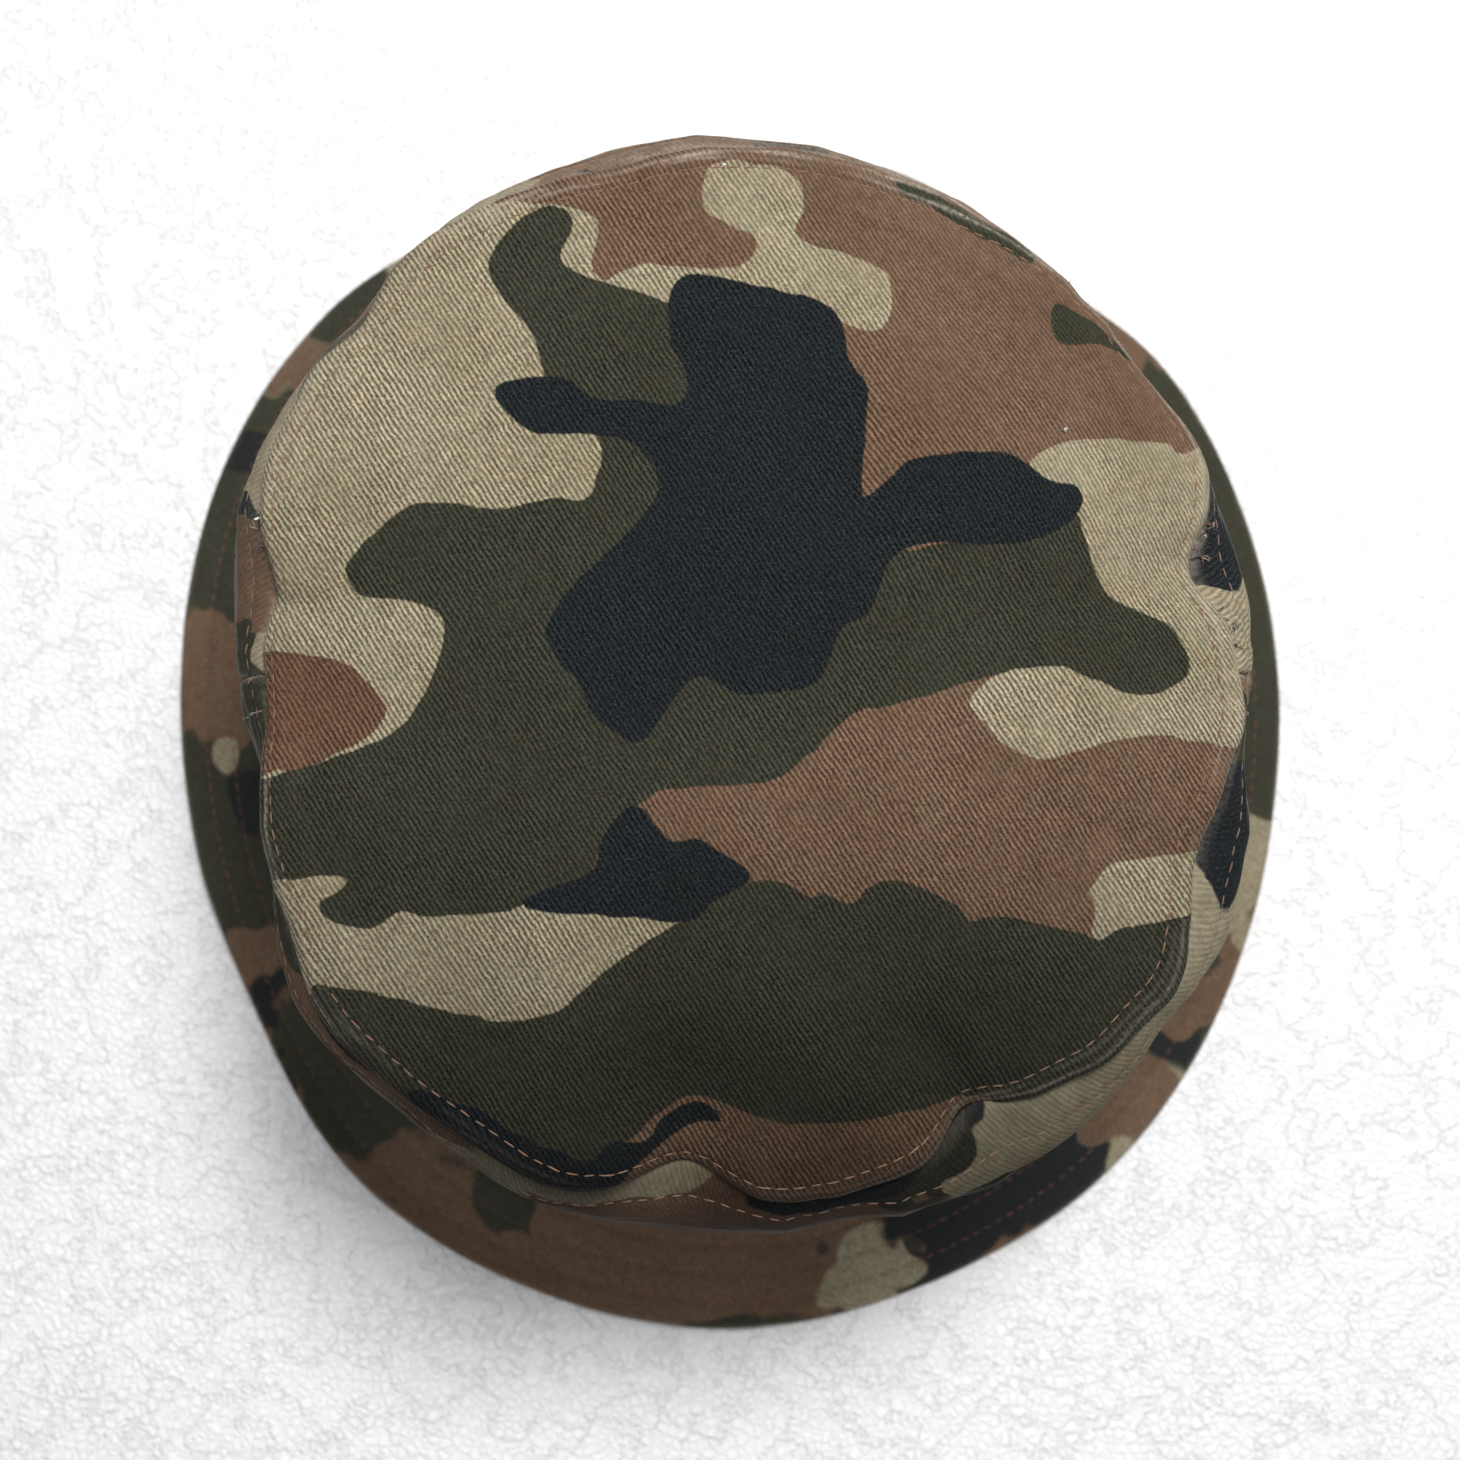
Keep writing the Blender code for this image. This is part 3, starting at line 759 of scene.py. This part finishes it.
def metal_material(name):
    """Oxidised brass, brighter where it has been rubbed."""
    n = Nodes(name)
    place = n.new("TexCoord").outputs["Object"]
    rub = n.span(n.noise(place, 1.6 * MM, 5.0, 0.7), 0.45, 0.7)
    n.relief(n.noise(place, 0.5 * MM, 3.0), 0.03 * MM)
    tone = n.mix(rub, rgba((0.035, 0.033, 0.028)), rgba((0.20, 0.15, 0.08)))
    return n.finish(base_color=tone, roughness=n.span(rub, 0, 1, 0.5, 0.3), metallic=0.9)


def floor_material():
    """Pale embossed floor. From below it can be seen through, and light from there passes it."""
    n = Nodes("floor")
    place = n.new("TexCoord").outputs["Object"]
    cells = n.new("TexVoronoi", feature="DISTANCE_TO_EDGE")
    cells.inputs["Scale"].default_value = 1 / (2.3 * MM)
    bent = n.noise(place, 2.0 * MM, 2.0)
    n.link(n.shifted(place, bent, 1.6 * MM), cells.inputs["Vector"])
    furrow = n.span(cells.outputs["Distance"], 0.0, 0.22, 0.0, 1.0, smooth_step=True)
    worm = n.math("ABSOLUTE", n.math("SUBTRACT", n.noise(place, 14 * MM, 4.0, 0.65), 0.5))
    crack = n.span(worm, 0.0, 0.018, 0.0, 1.0, smooth_step=True)
    pebble = n.noise(place, 0.9 * MM, 3.0, 0.7)
    grain = n.math("ADD", n.math("MULTIPLY_ADD", furrow, 0.5, pebble), n.math("MULTIPLY", crack, 0.5))
    # Painted shade: the emboss's furrows and cracks are a little darker in colour
    pale = n.math("MULTIPLY", n.span(furrow, 0, 1, 0.95, 1.0), n.span(crack, 0, 1, 0.96, 1.0))
    n.relief(grain, 0.7 * MM, 0.8)
    n.finish(base_color=n.times(rgba((0.98, 0.98, 0.985)), n.grey(pale)), roughness=0.85)
    clear = n.new("BsdfTransparent").outputs[0]
    below = n.new("NewGeometry").outputs["Backfacing"]
    passing = n.new("LightPath").outputs["Is Shadow Ray"]
    either = n.fed("MixShader", (n.math("MAXIMUM", below, passing), n.shader.outputs[0], clear))
    n.link(either.outputs[0], n.tree.nodes["Material Output"].inputs["Surface"])
    return n.material


# ---- the pieces

# Where the folds along the seam are most worn: (angle, width in degrees, strength)
WORN_SIDES = [(182, 34, 1.0), (40, 38, 1.8), (100, 30, 0.7), (-60, 25, 0.5)]
# Thin worn ridges beside the seam: (distance from the seam in mm, width in mm, strength)
WORN_RIDGES = [(0.2, 0.6, 1.2), (1.4, 0.25, 0.6), (2.5, 0.3, 0.7), (3.7, 0.25, 0.5)]


def painted_front_shade(points):
    """Painted shade: how much the cloth's colour is darkened, which grows toward the front."""
    forward = (-points[..., 1] / MM - 18) / 64
    patchy = 1 + 0.25 * noise(points, 16 * MM, 141)
    return np.clip(0.56 * np.clip(forward, 0, 1.1) ** 1.25 * patchy, 0, 0.7)


def seam_wear(angle, depth, ridges=WORN_RIDGES):
    """Paler worn cloth right beside the tip seam."""
    around = ring(angle, NOISE_RING, NOISE_RING, 0)
    side = 0.35 + humps(angle, WORN_SIDES) / MM
    total = np.zeros_like(depth)
    for number, (middle, width, strength) in enumerate(ridges):
        wander = 0.4 * noise(around, 11 * MM, 103 + number)
        patchy = np.clip(0.5 + 0.8 * noise(around, 8 * MM, 113 + number), 0, 1)
        total = total + strength * side * patchy * bell(depth / MM - middle - wander, width)
    return total


# The tip's grid: columns round, and rows that are finest at the seam and spread beyond the stitches
TIP_COLUMNS = 640
ROLL_ROWS = np.arange(0, 4.9 * MM, 0.35 * MM)
EDGE_WIDTH = 14 * MM
EDGE_ROWS = np.arange(4.9 * MM, EDGE_WIDTH, 0.6 * MM)
# How the twill's ribs draw together toward the right rear, where the cloth is pulled on the bias
CROWDED_FROM = 45 * MM
CROWDING = 6.0


def crown_tip(outer, inner):
    angle = np.arange(TIP_COLUMNS) * math.tau / TIP_COLUMNS
    edge_depth = np.concatenate([ROLL_ROWS, EDGE_ROWS])[:, None] + 0 * angle[None]
    inward = np.linspace(0, 0.996, 52)[:, None]
    inner_depth = EDGE_WIDTH + (tip_reach(angle)[None] - EDGE_WIDTH) * inward
    depth = np.concatenate([edge_depth, inner_depth])[::-1]
    angle = np.broadcast_to(angle, depth.shape)
    points = tip_surface(angle, depth)
    found = tip_print(points)
    found["wear"] = seam_wear(angle, depth)
    # Painted shade, growing toward the front of the tip
    found["soil"] = painted_front_shade(points)
    share = 1 - depth / tip_reach(angle)
    cloth = tip_oval(angle, share, depth)
    across = np.array([math.cos(WALE_LEAN), math.sin(WALE_LEAN), 0])
    crowded = CROWDING * np.maximum(cloth @ across - CROWDED_FROM, 0) ** 2
    found["cloth"] = cloth + crowded[..., None] * across
    tip = sheet("tip_panel", points, outer, closed=True, attributes=found, cap=True)
    thicken(tip, CLOTH, inner)
    fasten(tip, "camouflage_twill", "crown_tip")


def eyelet_middle(degrees):
    """Where an eyelet sits on the wall, and the wall's outward direction there."""
    angle = np.array([math.radians(degrees)])
    depth = np.array([SEAM_Z - EYELET_Z])
    out = outward_of(wall_surface, angle, depth)[0]
    return wall_surface(angle, depth)[0], out * np.sign(out @ ring(angle, 1, 1, 0)[0])


def eyelet_distance(points):
    """Distance of each point from the nearest eyelet's middle."""
    middles = [eyelet_middle(degrees)[0] for degrees in EYELETS.values()]
    return np.min([np.linalg.norm(points - middle, axis=-1) for middle in middles], axis=0)


# Colours on the wall that show from above, each as (angle, depth in mm, half width in degrees, half height
# in mm, colour)
WALL_PATCHES = [
    (163, 9, 2.8, 7, "black"), (170, 12, 6, 16, "base"), (183, 14, 9, 16, "green"),
    (204, 12, 12, 14, "green"), (222, 10, 16, 9, "base"), (250, 1, 14, 2.4, "tan"),
    (248, 16, 22, 11, "base"), (276, 14, 18, 11, "base"), (281, 1, 8, 2.2, "black"),
    (316, 7, 19, 12, "tan"), (336, 9, 10, 15, "tan"), (302, 19, 11, 9, "black"),
    (296, 1, 3, 2.5, "green"), (354, 14, 6, 12, "green"), (344, 4, 9, 9, "black"), (0, 8, 5, 8, "base"),
    (6, 3, 5, 7, "tan"), (15, 5, 5.5, 11, "black"), (16, 0, 1.8, 3, "black"), (40, 12, 14, 14, "green"),
    (70, 10, 14, 12, "base"), (85, 2, 5, 3, "green"), (100, 10, 12, 12, "base"), (128, 8, 16, 10, "base"),
    (118, 3, 6, 4, "tan"), (152, 8, 7, 10, "tan"),
]
# Where the top of the wall is worn pale: (angle, width in degrees, strength)
BLEACHED = [(37, 11, 0.9), (60, 16, 0.8), (150, 14, 0.4), (95, 30, 0.45)]


def wall_print(angle, depth, flat, shift):
    found = endless_print(flat, shift)
    wobble = 5 * noise(flat, 13 * MM, 111) + 2 * noise(flat, 5 * MM, 112)
    paint(found, angle, depth / MM, WALL_PATCHES, wobble, 1.6, 14)
    return found


def side_panel(name, start, outer, inner):
    gap = 0.05 * MM / BAND_B
    angle = np.linspace(start + gap, start + math.pi - gap, 330)
    depth = np.concatenate([np.arange(0, 10 * MM, 0.7 * MM), np.linspace(10 * MM, WALL_HEIGHT, 56)])
    angle, depth = np.meshgrid(angle, depth)
    points = wall_surface(angle, depth)
    flat = np.stack([angle * (BAND_A + BAND_B) / 2, -depth, 0 * depth], -1)
    found = wall_print(angle, depth, flat, 0.05 + start * 0.1)
    side = np.minimum(angle - start, start + math.pi - angle) * BAND_B
    bleached = humps(angle, BLEACHED) / MM * (0.7 + 0.5 * noise(flat, 4 * MM, 119))
    # Painted shade, growing toward the front of the wall
    found["soil"] = painted_front_shade(points)
    at_seams = 0.4 * seam_wear(angle, depth, WORN_RIDGES[:1]) + 0.6 * bell(side, 0.7 * MM)
    found["wear"] = at_seams + bleached * bell(depth, 5 * MM)
    found["cloth"] = flat
    drop = eyelet_distance(points) < EYELET_HOLE
    panel = sheet(f"wall_{name}", points, outer, attributes=found, drop=drop)
    thicken(panel, CLOTH, inner)
    fasten(panel, "camouflage_twill", f"side_panel_{name}")


# Colours on the brim's top: (angle, outset in mm, half width in degrees, half depth in mm, colour)
BRIM_PATCHES = [
    (30, 34, 14, 16, "green"), (42, 40, 6, 10, "base"), (60, 36, 12, 12, "tan"),
    (90, 34, 16, 14, "green"), (112, 36, 8, 12, "base"), (125, 38, 9, 14, "tan"),
    (137, 40, 6, 10, "green"), (144, 40, 5, 12, "base"), (157, 40, 5, 14, "black"),
    (165, 42, 6.5, 13, "green"), (177, 38, 8, 18, "base"),
    (195, 40, 12, 18, "green"), (184.5, 36, 1.8, 4, "tan"), (189, 30, 3, 6, "black"),
    (206, 40, 4, 9, "base"), (210, 40, 2.5, 10, "black"), (232, 36, 20, 20, "base"),
    (219, 38, 7, 10, "green"), (226, 30, 5, 7, "green"), (244, 31, 8, 6, "green"),
    (266, 34, 20, 20, "base"), (270, 49, 8, 3.5, "green"), (285, 40, 5, 10, "tan"),
    (302, 32, 11, 14, "black"), (308, 38, 7, 14, "black"), (320, 38, 6, 14, "base"),
    (326, 42, 3, 8, "black"), (333, 38, 6, 12, "base"), (341, 40, 3, 8, "tan"),
    (0, 36, 20, 18, "green"), (345, 40, 5, 12, "tan"), (3, 36, 2.4, 5, "tan"), (28, 36, 3, 6, "tan"),
]
# How much softer the print's edges are on the worn top of the brim
BRIM_EDGE = 0.3
# How far along the endless print the brim's two cloths are cut, in metres
TOP_SHIFT = 0.23
UNDER_SHIFT = 0.71


def brim_print(angle, outset, points):
    """The print on the brim's top, the endless one with patches laid over it."""
    flat = points * [1, 1, 0]
    found = endless_print(flat, TOP_SHIFT)
    wobble = 4 * noise(flat, 14 * MM, 121) + 4 * noise(flat, 7 * MM, 122) + 1.5 * noise(flat, 3.5 * MM, 123)
    paint(found, angle, outset / MM, BRIM_PATCHES, wobble, 2.2, 9)
    return {name: amount * BRIM_EDGE for name, amount in found.items()}


def fasten_brim(piece, nodes):
    """Fixes a piece of a brim half in place, and hides the CAD nodes it stands for."""
    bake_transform(piece)
    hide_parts(*nodes)


def brim_half(name, start, outer):
    """Half of the brim as one closed form: underside outward, round the rim, and back over the top."""
    angle = np.linspace(start, start + math.pi, 340)
    steps = np.concatenate([np.linspace(0.3 * MM, BRIM_OUTSET - 1.2 * MM, 58), [BRIM_OUTSET - 0.5 * MM]])
    outset = np.concatenate([steps, [BRIM_OUTSET, BRIM_OUTSET], steps[::-1]])
    under = brim_groove(steps) * 0.6
    over = BRIM_THICKNESS - brim_groove(steps)
    under[-1] = 0.25 * MM
    over[-1] = BRIM_THICKNESS - 0.25 * MM
    lift = np.concatenate([under, [0.8 * MM, BRIM_THICKNESS - 0.8 * MM], over[::-1]])
    angle_grid, outset_grid = np.meshgrid(angle, outset)
    lift_grid = np.repeat(lift[:, None], len(angle), 1)
    points = brim_surface(angle_grid, outset_grid, lift_grid)
    rows = len(steps) + 1
    upper = brim_print(angle_grid, outset_grid, points)
    lower = endless_print(points * [1, 1, 0], UNDER_SHIFT)
    on_top = (np.arange(len(outset)) >= rows)[:, None]
    found = {key: np.where(on_top, upper[key], lower[key]) for key in upper}
    at_rim = 0.9 * bell(BRIM_OUTSET - outset_grid, 0.7 * MM)
    found["wear"] = at_rim * (0.5 + 0.5 * noise(points, 8 * MM, 131))
    found["cloth"] = points * [1, 1, 0]
    half = sheet(f"brim_{name}", points[::-1], outer, attributes={k: v[::-1] for k, v in found.items()})
    nodes = [f"brim_{layer}_{name}_flap" for layer in ("top_cloth", "interlining", "under_cloth")]
    if name == "front":
        nodes += ["brim_top_cloth", "brim_interlining", "brim_under_cloth"]
    fasten_brim(half, nodes)


def brim_stitching(name, start, material):
    runs = []
    angle = np.linspace(start + 0.012, start + math.pi - 0.012, 900)
    for number, row in enumerate(BRIM_ROWS):
        across = np.full_like(angle, row)
        for lift, flip in ((BRIM_THICKNESS - 0.4 * MM, 1), (0.24 * MM, -1)):

            def face(a, o, lift=lift):
                return brim_surface(a, o, lift)

            path = face(angle, across)
            out = -outward_of(face, angle, across) * flip
            out = out * np.sign(out[:, 2:3]) * flip
            runs.append((path, out, 200 + number * 2 + (flip > 0)))
    rows = stitches(f"brim_stitching_{name}", runs, material, radius=0.19 * MM, sides=4)
    nodes = [f"brim_edge_stitch_{name}"]
    if name == "front":
        nodes += ["brim_edge_stitch_left", "brim_edge_stitch_right", "brim_inner_stitch"]
    fasten_brim(rows, nodes)


def ring_stitching(name, surface, depth, node, material, slot, flip=1):
    """One closed row round the crown. flip is -1 for a row on the inner side."""
    angle = np.linspace(0, math.tau, 2400)
    across = np.full_like(angle, depth)
    path = surface(angle, across)
    out = outward_of(surface, angle, across)
    centre_out = ring(angle, 1, 1, 0) if surface is not tip_surface else np.array([[0, 0, 1.0]])
    out = out * np.sign((out * centre_out).sum(1))[:, None] * flip
    row = stitches(name, [(path, out, 300 + int(depth / MM))], material)
    fasten(row, slot, node)


def side_seam_stitching(material):
    runs = []
    turn = SIDE_STITCH / BAND_B
    for number, middle in enumerate((-turn, math.pi + turn)):
        depth = np.linspace(1 * MM, WALL_HEIGHT - 2 * MM, 300)
        angle = np.full_like(depth, middle)
        runs.append((wall_surface(angle, depth), ring(angle, 1, 1, 0), 400 + number))
    fasten(stitches("side_seam_stitching", runs, material), "topstitch_thread")


def inner_band(name, top, bottom, inset, thickness, material, node, slot, start=0.0, end=math.tau, rows=12):
    """A band inside the wall, from one depth to another. It closes on itself unless it stops short."""
    closed = end - start == math.tau
    count = max(8, int(220 * (end - start) / math.tau))
    angle = np.linspace(start, end, count + (0 if closed else 1), endpoint=not closed)
    depth = np.linspace(top, bottom, rows)
    angle, depth = np.meshgrid(angle, depth)
    points = wall_surface(angle, depth, inset)
    flat = np.stack([angle * (BAND_A + BAND_B) / 2, -depth, 0 * depth], -1)
    band = sheet(name, points, material, closed=closed, attributes={"cloth": flat})
    thicken(band, thickness)
    bevel = band.modifiers.new("soft_edge", "BEVEL")
    bevel.width = thickness * 0.3
    bevel.segments = 2
    fasten(band, slot, node)


def inside(binding, cotton, thread):
    """Tapes over the seams, and the sweatband with its row of stitches."""
    tape = (TAPE_INSET, 0.6 * MM, binding)
    inner_band("tip_tape", 1.5 * MM, 10.5 * MM, *tape, "tip_seam_tape", "seam_tape")
    turn = 6 * MM / BAND_B
    for side, middle in (("left", 0.0), ("right", math.pi)):
        span = {"start": middle - turn, "end": middle + turn, "rows": 40}
        low = WALL_HEIGHT - 0.5 * MM
        inner_band(f"side_tape_{side}", 11 * MM, low, *tape, f"side_seam_tape_{side}", "seam_tape", **span)
    band = (SWEATBAND_INSET, 0.8 * MM, cotton)
    top = WALL_HEIGHT - SWEATBAND_HEIGHT
    inner_band("sweat_band", top, WALL_HEIGHT - 0.3 * MM, *band, "sweatband", "sweatband_cotton")

    def band_face(angle, depth):
        return wall_surface(angle, depth, SWEATBAND_INSET + 0.9 * MM)

    low = WALL_HEIGHT - 3.5 * MM
    ring_stitching("band_stitching", band_face, low, "sweatband_stitch", thread, "brim_thread", flip=-1)


def eyelet_parts(material):
    """A rolled flange outside and a washer inside, at each vent."""
    for where, degrees in EYELETS.items():
        middle, out = eyelet_middle(degrees)
        for kind, profile in (("eyelet", EYELET_PROFILE), ("eyelet_washer", WASHER_PROFILE)):
            made = turned(f"{kind}_{where}_metal", profile, material)
            made.rotation_mode = "QUATERNION"
            made.rotation_quaternion = Vector(out).to_track_quat("Z", "Y")
            made.location = middle
            fasten(made, "blackened_brass", f"{kind}_{where}")


# Closed (radius, height) profiles in mm, running down the outer side and up the bore
EYELET_PROFILE = [
    (5.2, 0.25), (5.0, 0.02), (3.3, 0.0), (3.15, -0.3), (3.15, -2.9), (2.5, -3.0), (2.4, -2.6),
    (2.4, 0.2), (2.6, 0.6), (3.1, 0.85), (4.0, 0.85), (4.8, 0.6),
]
WASHER_PROFILE = [(5.3, -1.5), (5.2, -1.9), (4.4, -2.1), (3.5, -1.9), (3.4, -1.5)]


def turned(name, profile, material, steps=40):
    """A solid turned from a closed profile, with its two ends welded."""
    turn = np.arange(steps) * math.tau / steps
    points = np.stack([ring(turn, radius * MM, radius * MM, height * MM) for radius, height in profile])
    points = np.concatenate([points, points[:1]])
    made = sheet(name, points, material, closed=True)
    weld = made.modifiers.new("close", "WELD")
    weld.merge_threshold = 0.01 * MM
    subdivide = made.modifiers.new("round", "SUBSURF")
    subdivide.levels = 1
    subdivide.render_levels = 1
    return made


# Loose threads at the seam: (angle, spread in degrees, how many, length in mm)
FRAYS = [(15, 2.0, 18, 2.4), (4, 3, 18, 2.2), (165, 3, 9, 2.2), (44, 6, 6, 1.6)]
# Specks of lint on the crown tip: (x, y) in mm
LINT = [(-2, 88), (-54, 73), (55, 40), (-83, 27)]


def strand(curve, points, radius):
    spline = curve.splines.new("NURBS")
    spline.points.add(len(points) - 1)
    for point, place in zip(spline.points, points):
        point.co = (*place, 1)
        point.radius = radius / curve.bevel_depth
    spline.use_endpoint_u = True
    spline.order_u = 3


def curly(rng, start, heading, length, steps=6):
    """Points of a short thread that wanders from its start."""
    points = [np.array(start)]
    for _ in range(steps):
        heading = heading + rng.normal(0, 0.55, 3)
        heading = heading / np.linalg.norm(heading)
        points.append(points[-1] + heading * length / steps)
    return points


def loose_threads(name, material, starts, seed, radius):
    """Short stray threads. Each start is (place, heading, length)."""
    rng = np.random.default_rng(seed)
    curve = bpy.data.curves.new(name, "CURVE")
    curve.dimensions = "3D"
    curve.bevel_depth = radius
    curve.bevel_resolution = 1
    curve.resolution_u = 4
    for place, heading, length in starts:
        strand(curve, curly(rng, place, heading, length), radius * rng.uniform(0.7, 1.1))
    curve.materials.append(material)
    fasten(new_object(name, curve), "topstitch_thread")


def frays(orange, pale, dark):
    rng = np.random.default_rng(501)
    starts = []
    for middle, spread, count, length in FRAYS:
        for _ in range(count):
            angle = math.radians(middle + rng.uniform(-spread, spread))
            place = wall_surface(np.array([angle]), np.array([rng.uniform(0, 1.5) * MM]))[0]
            sideways = rng.normal(0, 0.8)
            heading = np.array([math.cos(angle), math.sin(angle), 0.35])
            heading = heading + sideways * np.array([-math.sin(angle), math.cos(angle), 0])
            starts.append((place, heading, length * MM * rng.uniform(0.5, 1.2)))
    loose_threads("frayed_thread", orange, starts[::3], 503, 0.11 * MM)
    loose_threads("frayed_yarn", pale, starts[1::3], 505, 0.10 * MM)
    loose_threads("frayed_dark_yarn", dark, starts[2::3], 509, 0.13 * MM)


def lint(material):
    up = np.array([0.3, 0.2, 0.5])
    starts = []
    for x, y in LINT:
        angle = math.atan2(y / TIP_B, x / TIP_A)
        share = math.hypot(x * MM / TIP_A, y * MM / TIP_B)
        depth = max(1 * MM, (1 - share) * TIP_SIZE + 1 * MM)
        place = tip_surface(np.array([angle]), np.array([depth]))[0]
        starts.append((place, up, 1.3 * MM))
    loose_threads("lint", material, starts, 507, 0.22 * MM)


def label(material):
    """A blank woven loop label, hanging by its top edge."""
    low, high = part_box("size_label")
    half = (high.x - low.x) / 2
    across = np.linspace(-half, half, 24)
    down = np.linspace(0, low.z - high.z, 20)
    x, z = np.meshgrid(across, down)
    bow = 0.5 * MM * np.cos(x / half * 1.4) + 0.3 * MM * np.sin(z / (5 * MM))
    y = (low.y + high.y) / 2 - bow * smooth(-z / (5 * MM))
    points = np.stack([x, y, high.z + z], -1)
    cloth = np.stack([x, z, 0 * x], -1)
    made = sheet("blank_label", points[:, ::-1], material, attributes={"cloth": cloth[:, ::-1]})
    thicken(made, 0.45 * MM)
    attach(made, "label")
    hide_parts("size_label")


# ---- the picture

# Place in metres, tilt about X and Y in degrees, and angle of view in degrees
CAMERA_PLACE = (-0.0025, -0.0247, 0.4012)
CAMERA_TILT = (2.92, -0.35)
CAMERA_VIEW = 47.43


def camera():
    data = bpy.data.cameras.new("camera")
    made = new_object("camera", data)
    data.angle = math.radians(CAMERA_VIEW)
    data.clip_start = 0.01
    made.location = CAMERA_PLACE
    made.rotation_euler = (math.radians(CAMERA_TILT[0]), math.radians(CAMERA_TILT[1]), 0)
    focus = new_object("focus", None)
    focus.location = (0, 0, SEAM_Z)
    data.dof.use_dof = True
    data.dof.focus_object = focus
    data.dof.aperture_fstop = 14
    bpy.context.scene.camera = made


def area_light(name, place, size, power, colour=(1, 1, 1)):
    data = bpy.data.lights.new(name, "AREA")
    data.energy = power
    data.size = size
    data.color = colour
    made = new_object(name, data)
    made.location = place
    made.rotation_euler = (-Vector(place)).to_track_quat("-Z", "Y").to_euler()
    made.visible_camera = False


def surroundings():
    bpy.ops.mesh.primitive_plane_add(size=6, location=(0, 0, 0))
    floor = bpy.context.object
    floor.name = "floor"
    floor.data.materials.append(floor_material())
    world = bpy.data.worlds.new("soft_light")
    world.use_nodes = True
    background = world.node_tree.nodes["Background"]
    background.inputs["Color"].default_value = (0.95, 0.97, 1.0, 1)
    background.inputs["Strength"].default_value = 0.48
    bpy.context.scene.world = world
    area_light("window", (0.14, 0.29, 0.75), 0.22, 6.6, (1.0, 0.99, 0.97))
    area_light("from_below", (0.05, -0.15, -0.60), 0.50, 3.0)
    bpy.context.scene.view_settings.view_transform = "Standard"


def build():
    twill = printed_twill("camouflage_twill")
    wall_cloth = printed_twill("wall_twill", relief=0.06 * MM, contrast=0.7)
    brim_cloth = printed_twill("brim_twill", gain=1.15, dust=0.06)
    wrong_side = printed_twill("twill_wrong_side", through=0.4)
    binding = plain_weave("binding_tape", (0.09, 0.08, 0.05), 0.7 * MM, 0.1 * MM)
    cotton = plain_weave("sweatband_cotton", (0.115, 0.11, 0.07), 1.0 * MM, 0.15 * MM)
    satin = plain_weave("label_satin", (0.62, 0.60, 0.55), 0.35 * MM, 0.03 * MM)
    orange = thread_material("topstitch_thread", (0.165, 0.080, 0.042))
    dark_red = thread_material("brim_thread", (0.16, 0.045, 0.03))
    pale = thread_material("pale_yarn", (0.34, 0.27, 0.18))
    dark = thread_material("dark_yarn", (0.012, 0.014, 0.018))
    white = thread_material("lint", (0.75, 0.75, 0.72))
    metal = metal_material("blackened_brass")

    crown_tip(twill, wrong_side)
    side_panel("rear", 0.0, wall_cloth, wrong_side)
    side_panel("front", math.pi, wall_cloth, wrong_side)
    orange_row = (orange, "topstitch_thread")
    ring_stitching("tip_stitching", tip_surface, TIP_STITCH, "tip_stitch_upper", *orange_row)
    ring_stitching("wall_stitching", wall_surface, WALL_STITCH, "tip_stitch_lower", *orange_row)
    side_seam_stitching(orange)
    brim_half("front", math.pi, brim_cloth)
    brim_half("rear", 0.0, brim_cloth)
    brim_stitching("front", math.pi, dark_red)
    brim_stitching("rear", 0.0, dark_red)

    inside(binding, cotton, dark_red)
    frays(orange, pale, dark)
    lint(white)
    eyelet_parts(metal)
    label(satin)
    camera()
    surroundings()


build()
